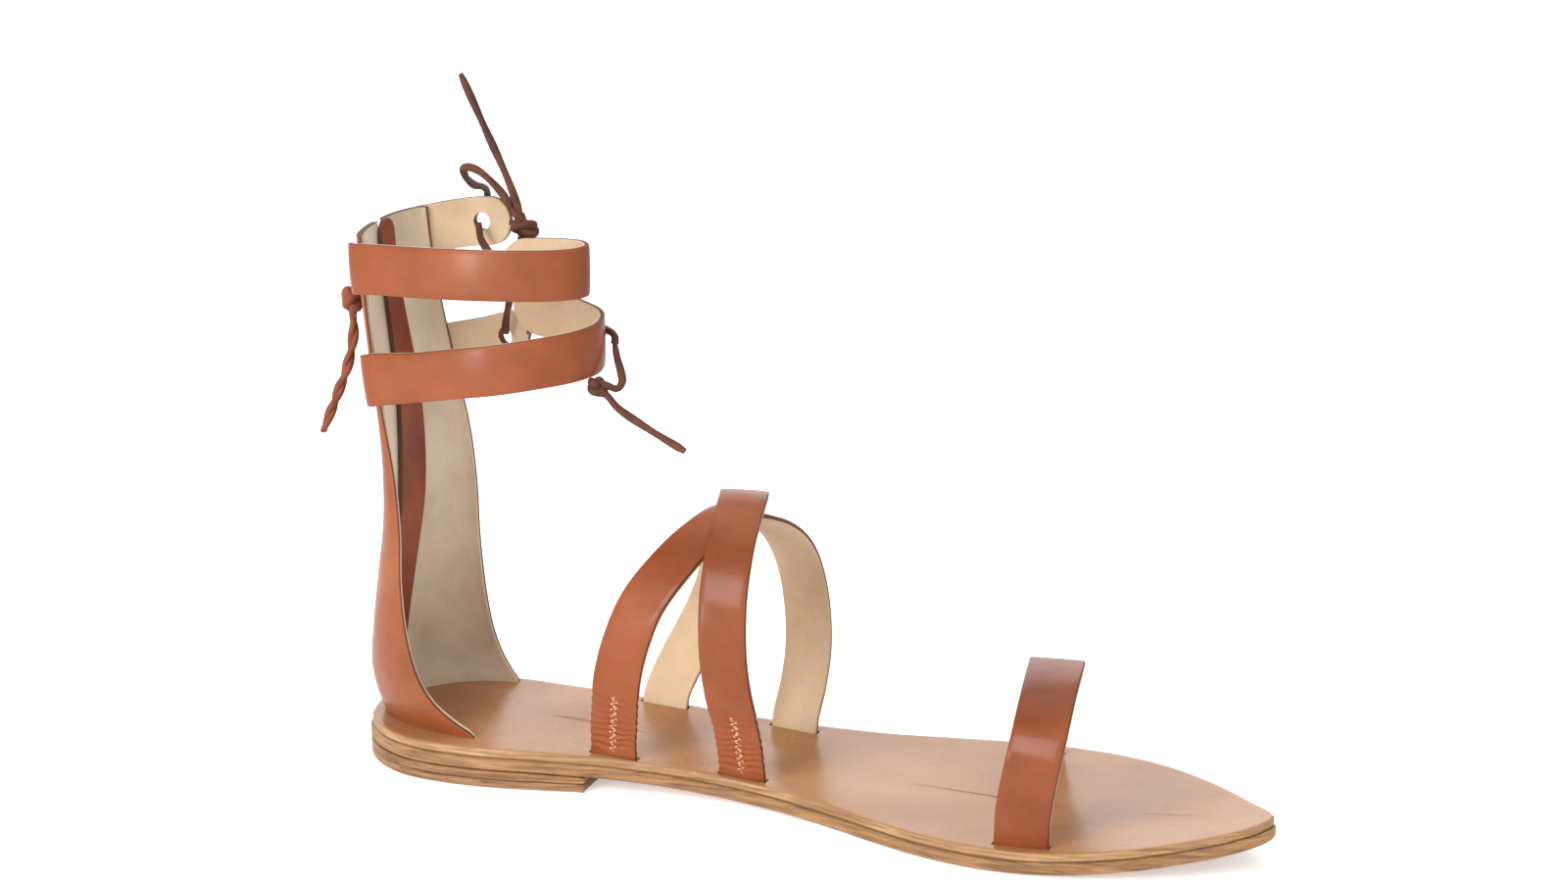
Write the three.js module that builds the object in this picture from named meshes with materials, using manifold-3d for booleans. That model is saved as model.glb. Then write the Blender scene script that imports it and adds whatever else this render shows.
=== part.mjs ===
// Flat leather gladiator sandal, left foot, standing empty on its sole.
//
// Frame: millimetres, +X from the heel to the toe, +Z up, +Y to the outer (lateral) side.
// The origin is on the floor under the middle of the heel. The inner (medial) side is -Y.
//
// Every strap is a band of leather swept along its own route. Each route is a short table of
// points on the middle line of the band's outer face, from the inner side of the foot over the
// top to the outer side, or from the back of the heel forwards.

import * as THREE from 'three';
import Module from 'manifold-3d';
import { mergeVertices } from 'three/addons/utils/BufferGeometryUtils.js';

const wasm = await Module();
wasm.setup();

// ---------------------------------------------------------------------------------------------
// Driving dimensions
// ---------------------------------------------------------------------------------------------
const GAP = 0.3;                 // clearance between pieces that touch
const INSOLE_THICKNESS = 2.3;
const OUTSOLE_THICKNESS = 3.0;
const LIFT_HEIGHT = 4.5;         // stacked leather lift under the heel
const BREAST_X = 38.5;           // front face of the heel lift
const ARCH_START_X = 18;         // the sole leaves the heel's level here
const BALL_X = 110;              // and lies on the floor from here
const SPRING_X = 150;            // the toe starts to lift here
const TOE_X = 219.5;
const TOE_SPRING = 8;
const STRAP_THICKNESS = 1.8;
const CROSS_STRAP_WIDTH = 12.6;
const TOE_STRAP_WIDTH = 14.2;
const ANKLE_STRAP_WIDTH = 13.2;
const COUNTER_THICKNESS = 1.8;
const COUNTER_TOP_Z = 142;
const LACE_DIAMETER = 2.2;
const THONG_DIAMETER = 3.0;
const EYELET_DIAMETER = 4.8;
const END_ROUND = 6.6;           // radius of the ankle straps' rounded ends
// How far round each counter half its ankle straps' seams start: inner half, outer half.
const STRAP_START_TURN = { [-1]: 0.74, 1: 0.45 };

// Outline of the sole seen from above: where its two edges are at each distance from the heel.
const SOLE_OUTLINE = [
  { x: -29.2, inner: -2.0, outer: 2.0 },
  { x: -26.9, inner: -11.2, outer: 11.2 },
  { x: -20.6, inner: -20.0, outer: 20.0 },
  { x: -11.2, inner: -26.0, outer: 26.0 },
  { x: 0.0, inner: -28.0, outer: 28.0 },
  { x: 15.0, inner: -27.3, outer: 27.4 },
  { x: 30.0, inner: -24.4, outer: 26.8 },
  { x: 45.0, inner: -21.0, outer: 27.0 },
  { x: 60.0, inner: -18.6, outer: 27.4 },
  { x: 75.0, inner: -18.0, outer: 28.8 },
  { x: 90.0, inner: -19.6, outer: 31.4 },
  { x: 105.0, inner: -24.0, outer: 33.6 },
  { x: 120.0, inner: -30.4, outer: 36.2 },
  { x: 135.0, inner: -35.8, outer: 38.6 },
  { x: 150.0, inner: -38.6, outer: 39.8 },
  { x: 165.0, inner: -38.6, outer: 37.8 },
  { x: 179.0, inner: -36.2, outer: 31.6 },
  { x: 191.0, inner: -32.6, outer: 22.6 },
  { x: 202.0, inner: -28.0, outer: 11.4 },
  { x: 211.0, inner: -23.4, outer: 0.6 },
  { x: 217.0, inner: -18.6, outer: -6.8 },
  { x: 219.5, inner: -14.4, outer: -11.2 },
];

// The heel counter by height: its outer face's back line, the front edge on either side, its
// half width, and how far it sits towards the outer side of the sole.
const COUNTER_SECTIONS = [
  { z: 4.0, back: -25.8, inner: 8.6, outer: 1.0, half: 23.0, shift: 2.2 },
  { z: 10.4, back: -26.2, inner: 7.0, outer: 0.6, half: 23.2, shift: 2.2 },
  { z: 14.0, back: -27.0, inner: 2.4, outer: -2.4, half: 24.2, shift: 1.9 },
  { z: 19.0, back: -28.0, inner: -2.8, outer: -5.4, half: 25.2, shift: 1.4 },
  { z: 26.0, back: -28.4, inner: -6.6, outer: -7.8, half: 26.0, shift: 0.8 },
  { z: 37.0, back: -26.8, inner: -9.2, outer: -9.6, half: 26.5, shift: 0.2 },
  { z: 51.0, back: -24.4, inner: -10.7, outer: -10.7, half: 26.3, shift: 0.0 },
  { z: 66.0, back: -22.0, inner: -11.0, outer: -11.0, half: 25.6, shift: 0.0 },
  { z: 81.0, back: -21.4, inner: -12.9, outer: -12.0, half: 24.1, shift: 0.0 },
  { z: 97.0, back: -22.0, inner: -16.6, outer: -14.6, half: 22.2, shift: 0.0 },
  { z: 112.0, back: -24.0, inner: -19.8, outer: -17.0, half: 20.4, shift: 0.0 },
  { z: 128.0, back: -26.2, inner: -22.2, outer: -19.4, half: 19.0, shift: 0.0 },
  { z: 148.0, back: -27.6, inner: -23.6, outer: -21.2, half: 18.2, shift: 0.0 },
];

// Rear cross strap: from the inner side near the heel to the outer side further forward.
const CROSS_STRAP_A = [
  { x: 45.0, y: -18.0, z: 8.6 },
  { x: 45.2, y: -18.6, z: 12.5 },
  { x: 47.0, y: -22.2, z: 22.0 },
  { x: 49.0, y: -25.4, z: 33.0 },
  { x: 52.4, y: -27.3, z: 44.5 },
  { x: 56.4, y: -26.0, z: 55.0 },
  { x: 61.4, y: -21.4, z: 63.2 },
  { x: 67.0, y: -12.6, z: 70.4 },
  { x: 72.4, y: -1.6, z: 74.2 },
  { x: 76.4, y: 8.6, z: 70.4 },
  { x: 79.0, y: 18.0, z: 63.8 },
  { x: 80.2, y: 26.0, z: 54.4 },
  { x: 81.0, y: 31.0, z: 41.0 },
  { x: 81.2, y: 31.8, z: 28.0 },
  { x: 80.6, y: 29.4, z: 17.5 },
  { x: 79.8, y: 26.0, z: 10.0 },
  { x: 79.6, y: 25.4, z: 6.2 },
];

// Front cross strap, laid over the other where they meet.
const CROSS_STRAP_B = [
  { x: 79.4, y: -15.2, z: 6.2 },
  { x: 79.5, y: -15.8, z: 10.0 },
  { x: 79.8, y: -19.8, z: 20.0 },
  { x: 79.0, y: -24.4, z: 32.0 },
  { x: 78.5, y: -26.8, z: 44.0 },
  { x: 78.0, y: -25.0, z: 58.0 },
  { x: 77.2, y: -17.6, z: 69.4 },
  { x: 75.8, y: -8.0, z: 75.0 },
  { x: 73.4, y: 3.0, z: 77.4 },
  { x: 69.8, y: 13.4, z: 74.4 },
  { x: 65.0, y: 21.6, z: 65.0 },
  { x: 60.0, y: 27.0, z: 52.6 },
  { x: 56.0, y: 29.6, z: 41.0 },
  { x: 51.6, y: 30.2, z: 31.0 },
  { x: 46.6, y: 29.0, z: 21.0 },
  { x: 43.6, y: 25.4, z: 12.5 },
  { x: 43.2, y: 24.6, z: 8.6 },
];

// Toe strap, which follows the slant of the toe joints.
const TOE_STRAP = [
  { x: 160.4, y: -34.4, z: 3.8 },
  { x: 160.6, y: -34.8, z: 8.0 },
  { x: 161.4, y: -36.6, z: 15.0 },
  { x: 162.8, y: -37.4, z: 23.0 },
  { x: 164.2, y: -36.6, z: 31.0 },
  { x: 164.6, y: -32.6, z: 37.6 },
  { x: 163.8, y: -24.6, z: 42.6 },
  { x: 162.0, y: -14.0, z: 44.6 },
  { x: 159.4, y: -2.0, z: 43.8 },
  { x: 156.0, y: 10.0, z: 39.6 },
  { x: 152.2, y: 20.6, z: 32.0 },
  { x: 148.4, y: 28.4, z: 22.4 },
  { x: 145.6, y: 32.6, z: 13.4 },
  { x: 144.4, y: 33.6, z: 7.6 },
  { x: 144.2, y: 33.8, z: 3.8 },
];

// Ankle straps: the height where each leaves the zip and where it leaves the counter's front
// edge, then its free route.
const UPPER_INNER_STRAP = {
  side: -1,
  sewn: { start: 133.6, end: 134.0 },
  free: [
    { x: -14.0, y: -21.6, z: 135.0 },
    { x: -2.0, y: -23.8, z: 135.9 },
    { x: 14.0, y: -24.4, z: 136.8 },
    { x: 28.0, y: -22.6, z: 137.5 },
    { x: 35.2, y: -19.8, z: 137.9 },
    { x: 37.4, y: -16.6, z: 138.1 },
    { x: 35.4, y: -13.4, z: 138.1 },
    { x: 29.0, y: -11.2, z: 137.6 },
    { x: 20.0, y: -10.4, z: 136.8 },
    { x: 12.5, y: -10.0, z: 136.0 },
  ],
  eyeletFromEnd: 7,
};
const UPPER_OUTER_STRAP = {
  side: 1,
  sewn: { start: 134.0, end: 135.6 },
  free: [
    { x: -15.0, y: 20.6, z: 136.8 },
    { x: -9.0, y: 21.6, z: 137.9 },
    { x: -4.0, y: 21.2, z: 138.6 },
    { x: 1.8, y: 20.0, z: 139.0 },
  ],
  eyeletFromEnd: 8.6,
};
const LOWER_INNER_STRAP = {
  side: -1,
  sewn: { start: 104.6, end: 105.6 },
  free: [
    { x: -6.0, y: -23.2, z: 107.8 },
    { x: 4.0, y: -24.6, z: 110.0 },
    { x: 16.0, y: -24.8, z: 112.2 },
    { x: 28.0, y: -22.2, z: 114.6 },
    { x: 35.4, y: -17.8, z: 116.0 },
    { x: 38.2, y: -11.4, z: 116.8 },
    { x: 36.4, y: -4.6, z: 117.9 },
    { x: 30.0, y: -0.6, z: 118.9 },
    { x: 21.6, y: 1.8, z: 120.2 },
    { x: 9.6, y: 4.0, z: 121.6 },
  ],
};
const LOWER_OUTER_STRAP = {
  side: 1,
  sewn: { start: 101.4, end: 103.0 },
  free: [
    { x: -9.0, y: 22.6, z: 104.8 },
    { x: -4.0, y: 21.8, z: 106.6 },
    { x: 1.0, y: 20.2, z: 108.4 },
    { x: 7.4, y: 17.4, z: 110.6 },
  ],
  eyeletFromEnd: 8.6,
};

// Laces: the two strands that cross inside the ankle, the ends, the loops and the knots.
const CROSSING_ONE = [[15.6, -4.6, 140.6], [13.0, 0.5, 135.0], [7.8, 8.4, 126.4],
  [2.4, 15.6, 114.0], [1.4, 17.2, 110.0]];
const CROSSING_TWO = [[-6.4, 18.8, 138.2], [-4.2, 15.8, 134.6], [7.8, 8.4, 126.4],
  [15.4, 7.2, 120.6], [23.2, 5.2, 119.2], [31.6, 2.7, 118.8], [38.4, -2.0, 118.8], [40.4, -4.0, 118.8]];
const TOP_KNOT = [17.2, -5.4, 144.9];
const TOP_END = [[15.9, -5.2, 148.4], [12.2, -4.4, 157.0], [5.6, -2.4, 168.6], [-2.3, 0.0, 182.4]];
const TOP_LOOP = [[13.4, -4.6, 149.6], [8.2, -1.6, 153.6], [1.6, 1.0, 157.2], [-3.2, 3.4, 157.2],
  [-5.2, 8.4, 153.4], [-5.6, 15.0, 149.6], [-6.0, 21.0, 147.8], [-6.4, 24.8, 145.6], [-6.6, 25.4, 141.6]];
const BOTTOM_KNOT = [39.9, -13.8, 107.3];
const BOTTOM_END = [[42.5, -14.4, 105.6], [45.9, -14.6, 102.4], [52.9, -14.4, 98.2], [64.0, -14.0, 92.5]];
const BOTTOM_LOOP = [[42.9, -13.2, 107.5], [44.9, -12.4, 106.7], [45.9, -11.4, 108.2], [45.0, -9.8, 110.4],
  [43.0, -7.4, 113.4], [41.5, -5.2, 116.4]];
const PULL_KNOT = [-33.4, -2.4, 120.6];
const PULL_THONG = [[-33.0, -2.8, 116.6], [-32.8, -3.2, 112.0], [-34.4, -3.6, 103.6],
  [-37.6, -4.0, 95.0], [-42.0, -4.0, 84.4]];

// ---------------------------------------------------------------------------------------------
// Solids
// ---------------------------------------------------------------------------------------------

/** A closed mesh from rings of equal length, joined one to the next and capped at both ends. */
function solidFromRings(rings) {
  const size = rings[0].length;
  const positions = rings.flat().flatMap((p) => [p.x, p.y, p.z]);
  const faces = [];
  for (let i = 0; i + 1 < rings.length; i += 1) {
    for (let j = 0; j < size; j += 1) {
      const a = i * size + j;
      const b = i * size + ((j + 1) % size);
      faces.push(a, b, b + size, a, b + size, a + size);
    }
  }
  // Rings run up one face and back down the other, so a cap is a strip between the two.
  const last = (rings.length - 1) * size;
  for (let j = 0; j < size / 2 - 1; j += 1) {
    const k = size - 1 - j;
    faces.push(j, k, j + 1, j + 1, k, k - 1);
    faces.push(last + j, last + j + 1, last + k, last + j + 1, last + k - 1, last + k);
  }
  const geometry = new THREE.BufferGeometry();
  geometry.setAttribute('position', new THREE.Float32BufferAttribute(positions, 3));
  geometry.setIndex(faces);
  return facingOut(geometry);
}

/** Turns every face round where the mesh is inside out. */
function facingOut(geometry) {
  const p = geometry.getAttribute('position');
  const index = Array.from(geometry.index.array);
  const [a, b, c] = [new THREE.Vector3(), new THREE.Vector3(), new THREE.Vector3()];
  let volume = 0;
  for (let i = 0; i < index.length; i += 3) {
    a.fromBufferAttribute(p, index[i]);
    b.fromBufferAttribute(p, index[i + 1]);
    c.fromBufferAttribute(p, index[i + 2]);
    volume += a.dot(b.cross(c));
  }
  if (volume < 0) {
    for (let i = 0; i < index.length; i += 3) {
      [index[i + 1], index[i + 2]] = [index[i + 2], index[i + 1]];
    }
    geometry.setIndex(index);
  }
  return geometry;
}

function toManifold(geometry) {
  const bare = geometry.clone();
  bare.deleteAttribute('normal');
  bare.deleteAttribute('uv');
  const merged = mergeVertices(bare, 1e-4);
  return new wasm.Manifold(new wasm.Mesh({
    numProp: 3,
    vertProperties: new Float32Array(merged.getAttribute('position').array),
    triVerts: new Uint32Array(merged.index.array),
  }));
}

function fromManifold(manifold) {
  const mesh = manifold.getMesh();
  const geometry = new THREE.BufferGeometry();
  geometry.setAttribute('position', new THREE.Float32BufferAttribute(mesh.vertProperties, 3));
  geometry.setIndex(Array.from(mesh.triVerts));
  return geometry;
}

function subtract(geometry, cutters) {
  const cut = cutters.reduce((body, tool) => body.subtract(toManifold(tool)), toManifold(geometry));
  return fromManifold(cut);
}

function unite(first, ...others) {
  return fromManifold(others.reduce((body, g) => body.add(toManifold(g)), toManifold(first)));
}

/** One column of a table as a smooth function of another column. */
function column(table, key, by) {
  return (at) => {
    let i = 1;
    while (i < table.length - 2 && table[i + 1][by] < at) i += 1;
    i = at < table[1][by] ? 0 : i;
    const [p0, p1] = [table[Math.max(i - 1, 0)], table[i]];
    const [p2, p3] = [table[i + 1], table[Math.min(i + 2, table.length - 1)]];
    const span = p2[by] - p1[by];
    const t = THREE.MathUtils.clamp((at - p1[by]) / span, 0, 1);
    const m1 = ((p2[key] - p0[key]) / (p2[by] - p0[by])) * span;
    const m2 = ((p3[key] - p1[key]) / (p3[by] - p1[by])) * span;
    const t2 = t * t;
    const t3 = t2 * t;
    return (2 * t3 - 3 * t2 + 1) * p1[key] + (t3 - 2 * t2 + t) * m1
      + (-2 * t3 + 3 * t2) * p2[key] + (t3 - t2) * m2;
  };
}

function routeOf(table) {
  return new THREE.CatmullRomCurve3(
    table.map((p) => new THREE.Vector3(p.x, p.y, p.z)), false, 'centripetal');
}

// ---------------------------------------------------------------------------------------------
// Sole, insole and heel lift
// ---------------------------------------------------------------------------------------------

/** Height of the outsole's underside: level over the heel, on the floor at the ball. */
function undersideZ(x) {
  const heel = LIFT_HEIGHT + GAP;
  const fall = THREE.MathUtils.smoothstep(x, ARCH_START_X, BALL_X);
  const toe = THREE.MathUtils.clamp((x - SPRING_X) / (TOE_X - SPRING_X), 0, 1);
  return heel * (1 - fall) + TOE_SPRING * toe * toe;
}

const insoleBottomZ = (x) => undersideZ(x) + OUTSOLE_THICKNESS + GAP;
const insoleTopZ = (x) => insoleBottomZ(x) + INSOLE_THICKNESS;

/** A sheet of the sole between two heights, as far forward as toX, drawn in by inset. */
function soleLayer(bottomZ, topZ, { inset = 0, toX = Infinity, steps = 3 } = {}) {
  const edge = (side) => new THREE.CatmullRomCurve3(
    SOLE_OUTLINE.map((row) => new THREE.Vector3(row.x, row[side], 0)), false, 'centripetal');
  const [inner, outer] = [edge('inner'), edge('outer')];
  const count = (SOLE_OUTLINE.length - 1) * steps;
  const rings = [];
  for (let i = 0; i <= count; i += 1) {
    const a = inner.getPoint(i / count);
    const b = outer.getPoint(i / count);
    if (a.x > toX) break;
    for (const p of [a, b]) {
      const across = p === a ? 1 : -1;
      const heelEnd = THREE.MathUtils.clamp(-p.x / 28, 0, 1) ** 3;
      const toeEnd = THREE.MathUtils.clamp((p.x - 190) / (TOE_X - 190), 0, 1) ** 3;
      p.y += across * inset * (1 - Math.max(heelEnd, toeEnd) * 0.6);
      p.x += inset * (heelEnd - toeEnd);
    }
    rings.push(ribRing(a, b, bottomZ, topZ));
  }
  if (toX < Infinity) {
    const rows = ['inner', 'outer'].map((side) => column(SOLE_OUTLINE, side, 'x')(toX));
    const a = new THREE.Vector3(toX, rows[0] + inset, 0);
    const b = new THREE.Vector3(toX, rows[1] - inset, 0);
    rings.push(ribRing(a, b, bottomZ, topZ));
  }
  return solidFromRings(rings);
}

function ribRing(a, b, bottomZ, topZ) {
  const at = (p, z) => new THREE.Vector3(p.x, p.y, z(p.x));
  const middle = new THREE.Vector3().lerpVectors(a, b, 0.5);
  return [at(a, bottomZ), at(middle, bottomZ), at(b, bottomZ), at(b, topZ), at(middle, topZ), at(a, topZ)];
}

/** A straight slot through the insole for a strap's foot, standing where the strap goes in. */
function slotFor(foot, width) {
  const slot = new THREE.BoxGeometry(width + 2 * GAP, STRAP_THICKNESS + 2 * GAP, 20);
  const inwards = foot.y < 0 ? 1 : -1;
  slot.translate(foot.x, foot.y + inwards * (STRAP_THICKNESS / 2), foot.z);
  return slot;
}

// ---------------------------------------------------------------------------------------------
// Heel counter, zip and guard
// ---------------------------------------------------------------------------------------------
const counterBack = column(COUNTER_SECTIONS, 'back', 'z');
const counterHalf = column(COUNTER_SECTIONS, 'half', 'z');
const counterShift = column(COUNTER_SECTIONS, 'shift', 'z');
const counterFront = {
  [-1]: column(COUNTER_SECTIONS, 'inner', 'z'),
  1: column(COUNTER_SECTIONS, 'outer', 'z'),
};

/** The counter's outer face at a height, turned from the back line (0) to the front edge (1). */
function counterFace(z, turn, side) {
  const angle = (turn * Math.PI) / 2;
  const depth = counterFront[side](z) - counterBack(z);
  const x = counterBack(z) + depth * (1 - Math.cos(angle));
  const y = side * counterHalf(z) * Math.sin(angle) + counterShift(z) * Math.sin(angle) ** 2;
  return new THREE.Vector3(x, y, z);
}

/** A point off the counter's outer face, measured outwards (a negative offset is inwards). */
function offCounter(z, turn, side, offset) {
  const step = 0.01;
  const p = counterFace(z, turn, side);
  const low = Math.max(turn - step, 0);
  const along = counterFace(z, low + 2 * step, side).sub(counterFace(z, low, side));
  const up = counterFace(z + 0.5, turn, side).sub(counterFace(z - 0.5, turn, side));
  const out = new THREE.Vector3().crossVectors(along, up).normalize();
  if (out.y * side < 0 || (Math.abs(out.y) < 1e-6 && out.x > 0)) out.negate();
  return p.addScaledVector(out, offset);
}

const turnAt = (z, y) => Math.asin(Math.min(1, y / counterHalf(z))) / (Math.PI / 2);

/** A wall that follows the counter between two offsets, two heights and two turns. */
function counterWall(side, { from, to, bottom, top, turns, columns, rows }) {
  const rings = [];
  for (let i = 0; i <= rows; i += 1) {
    const z = bottom + ((top - bottom) * i) / rows;
    const [start, end] = turns(z);
    const ring = [];
    for (let j = 0; j <= columns; j += 1) {
      ring.push(offCounter(z, start + ((end - start) * j) / columns, side, to));
    }
    for (let j = columns; j >= 0; j -= 1) {
      ring.push(offCounter(z, start + ((end - start) * j) / columns, side, from));
    }
    rings.push(ring);
  }
  return solidFromRings(rings);
}

const ZIP_HALF_GAP = 2.4;        // from the centre line to each half of the counter
const counterBase = insoleBottomZ(0) + 0.1;
const COUNTER_ROWS = 27;
const counterStep = (COUNTER_TOP_Z - counterBase) / COUNTER_ROWS;

function counterHalfWall(side) {
  return counterWall(side, {
    from: -COUNTER_THICKNESS, to: 0, bottom: counterBase, top: COUNTER_TOP_Z,
    turns: (z) => [turnAt(z, ZIP_HALF_GAP), 1], columns: 8, rows: COUNTER_ROWS,
  });
}

function counterSlot(side) {
  return counterWall(side, {
    from: -COUNTER_THICKNESS - GAP, to: GAP,
    bottom: counterBase - counterStep, top: counterBase + 2 * counterStep,
    turns: (z) => [turnAt(z, ZIP_HALF_GAP - GAP), 1.03], columns: 8, rows: 3,
  });
}

/** A strip that runs up the centre back, between two offsets from the counter's outer face. */
function backStrip({ halfWidth, halfAtTop = halfWidth, from, to, bottom, top, rows, roundTop = 0 }) {
  const rings = [];
  for (let i = 0; i <= rows; i += 1) {
    const z = top - (top - bottom) * Math.pow(1 - i / rows, roundTop ? 1.6 : 1);
    const fromTop = Math.max(0, roundTop - (top - z));
    const arc = Math.sqrt(Math.max(roundTop ** 2 - fromTop ** 2, 1.2));
    const half = THREE.MathUtils.lerp(halfWidth, halfAtTop, THREE.MathUtils.smoothstep(z, 70, 134));
    const wide = roundTop ? half - roundTop + arc : half;
    const ys = [-1, -0.5, 0, 0.5, 1].map((share) => share * wide);
    const at = (y, offset) => offCounter(z, turnAt(z, Math.abs(y)), Math.sign(y) || 1, offset);
    rings.push([...ys.map((y) => at(y, to)), ...ys.reverse().map((y) => at(y, from))]);
  }
  return solidFromRings(rings);
}

// ---------------------------------------------------------------------------------------------
// Straps
// ---------------------------------------------------------------------------------------------

/** A band swept over the foot; its face looks away from the line (y, z) inside the foot. */
function footStrap(table, width, inside, segments) {
  const route = routeOf(table);
  const rings = [];
  for (let i = 0; i <= segments; i += 1) {
    const t = i / segments;
    const p = route.getPoint(t);
    const along = route.getTangent(t);
    const rest = THREE.MathUtils.smoothstep(Math.min(t, 1 - t), 0, 0.09);
    if (rest < 1) along.lerp(new THREE.Vector3(0, 0, Math.sign(along.z)), 1 - rest).normalize();
    const out = new THREE.Vector3(0, p.y - inside.y, (p.z - inside.z) * rest);
    out.addScaledVector(along, -out.dot(along)).normalize();
    const across = new THREE.Vector3().crossVectors(out, along).normalize();
    const corner = (share, depth) => p.clone()
      .addScaledVector(across, (share * width) / 2).addScaledVector(out, -depth);
    const shares = [-1, 0, 1];
    rings.push([
      ...shares.map((share) => corner(share, 0)),
      ...shares.reverse().map((share) => corner(share, STRAP_THICKNESS)),
    ]);
  }
  return solidFromRings(rings);
}

/** An ankle strap: sewn round the outside of the counter, then free, with a rounded end. */
function ankleStrap({ side, sewn, free, eyeletFromEnd }) {
  const heights = [-1, -0.5, 0, 0.5, 1];
  const half = ANKLE_STRAP_WIDTH / 2;
  const sewnShares = [0, 0.14, 0.28, 0.42, 0.56, 0.7, 0.84, 1];
  const routes = heights.map((share) => routeOf([
    ...sewnShares.map((way) => {
      const at = THREE.MathUtils.lerp(sewn.start, sewn.end, way) + share * half;
      const turn = THREE.MathUtils.lerp(STRAP_START_TURN[side], 1, way);
      return offCounter(at, turn, side, GAP + 0.15);
    }),
    ...free.map(({ x, y, z }) => ({ x, y, z: z + share * half })),
  ]));
  const long = routes[2].getLength();
  const segments = Math.round(long / 2.6);
  const rings = [];
  for (let i = 0; i <= segments; i += 1) {
    const t = i / segments;
    const left = long * (1 - t);
    const reach = Math.sqrt(Math.max(END_ROUND ** 2 - Math.max(END_ROUND - left, 0) ** 2, 0.5));
    const narrow = left < END_ROUND ? reach / END_ROUND : 1;
    const middle = routes[2].getPointAt(t);
    const row = routes.map((route) => middle.clone().lerp(route.getPointAt(t), narrow));
    const along = routes[2].getTangentAt(t).setZ(0).normalize();
    const out = new THREE.Vector3(along.y, -along.x, 0).multiplyScalar(-side);
    const outer = row.map((p) => p.clone().addScaledVector(out, STRAP_THICKNESS));
    rings.push([...row, ...outer.reverse()]);
  }
  if (!eyeletFromEnd) return solidFromRings(rings);
  const eyelet = routes[2].getPointAt(1 - eyeletFromEnd / long);
  const along = routes[2].getTangentAt(1 - eyeletFromEnd / long);
  const punch = new THREE.CylinderGeometry(EYELET_DIAMETER / 2, EYELET_DIAMETER / 2, 8, 12);
  const outwards = new THREE.Vector3(along.y, -along.x, 0).normalize();
  punch.applyQuaternion(new THREE.Quaternion().setFromUnitVectors(new THREE.Vector3(0, 1, 0), outwards));
  punch.translate(eyelet.x, eyelet.y, eyelet.z);
  return subtract(solidFromRings(rings), [punch]);
}

// ---------------------------------------------------------------------------------------------
// Laces, knots and the zip's pull
// ---------------------------------------------------------------------------------------------

/** A round cord along a route of [x, y, z] points. */
function cordAlong(points, diameter, segments) {
  const route = new THREE.CatmullRomCurve3(
    points.map(([x, y, z]) => new THREE.Vector3(x, y, z)), false, 'centripetal');
  const frames = route.computeFrenetFrames(segments, false);
  const rings = [];
  for (let i = 0; i <= segments; i += 1) {
    const centre = route.getPointAt(i / segments);
    const ring = [];
    for (let j = 0; j < 8; j += 1) {
      const angle = (j / 8) * Math.PI * 2;
      ring.push(centre.clone()
        .addScaledVector(frames.normals[i], (Math.cos(angle) * diameter) / 2)
        .addScaledVector(frames.binormals[i], (Math.sin(angle) * diameter) / 2));
    }
    rings.push(ring);
  }
  return solidFromRings(rings);
}

/** A knot pulled tight, as one rounded lump. */
function knot([x, y, z], [length, width, height]) {
  const lump = mergeVertices(new THREE.IcosahedronGeometry(0.5, 2).deleteAttribute('normal')
    .deleteAttribute('uv'), 1e-4);
  lump.scale(length, width, height);
  lump.translate(x, y, z);
  return lump;
}

// ---------------------------------------------------------------------------------------------
// Assembly
// ---------------------------------------------------------------------------------------------
const sandal = new THREE.Group();
sandal.name = 'gladiator_sandal';

const leather = (color, roughness) => ({ color, roughness, metalness: 0 });
const LOOKS = {
  strap: leather(0xb5653f, 0.42),
  insole: leather(0xb98f69, 0.4),
  soleEdge: leather(0xb98a5e, 0.6),
  guard: leather(0x7d4028, 0.5),
  tape: leather(0x8a5a40, 0.85),
  lace: leather(0x6b3c28, 0.7),
  slider: { color: 0xd9c3b2, roughness: 0.35, metalness: 0.9 },
};

function add(name, geometry, look) {
  const flat = geometry.index ? geometry.toNonIndexed() : geometry;
  flat.computeVertexNormals();
  const mesh = new THREE.Mesh(flat, new THREE.MeshStandardMaterial(look));
  mesh.name = name;
  sandal.add(mesh);
}

// Sole: the insole and outsole run the whole length, and the lift stops under the arch.
const rounding = 0.5;
const feet = [
  [CROSS_STRAP_A[0], CROSS_STRAP_WIDTH], [CROSS_STRAP_A.at(-1), CROSS_STRAP_WIDTH],
  [CROSS_STRAP_B[0], CROSS_STRAP_WIDTH], [CROSS_STRAP_B.at(-1), CROSS_STRAP_WIDTH],
  [TOE_STRAP[0], TOE_STRAP_WIDTH], [TOE_STRAP.at(-1), TOE_STRAP_WIDTH],
];
const insoleBody = soleLayer(insoleBottomZ, insoleTopZ, { inset: rounding });
add('insole', subtract(insoleBody, [
  ...feet.map(([foot, width]) => slotFor(foot, width)), counterSlot(-1), counterSlot(1),
]), LOOKS.insole);
add('outsole', soleLayer(undersideZ, (x) => undersideZ(x) + OUTSOLE_THICKNESS), LOOKS.soleEdge);
add('heel_lift', soleLayer(() => 0, (x) => undersideZ(x) - GAP, { toX: BREAST_X }), LOOKS.soleEdge);

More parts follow.
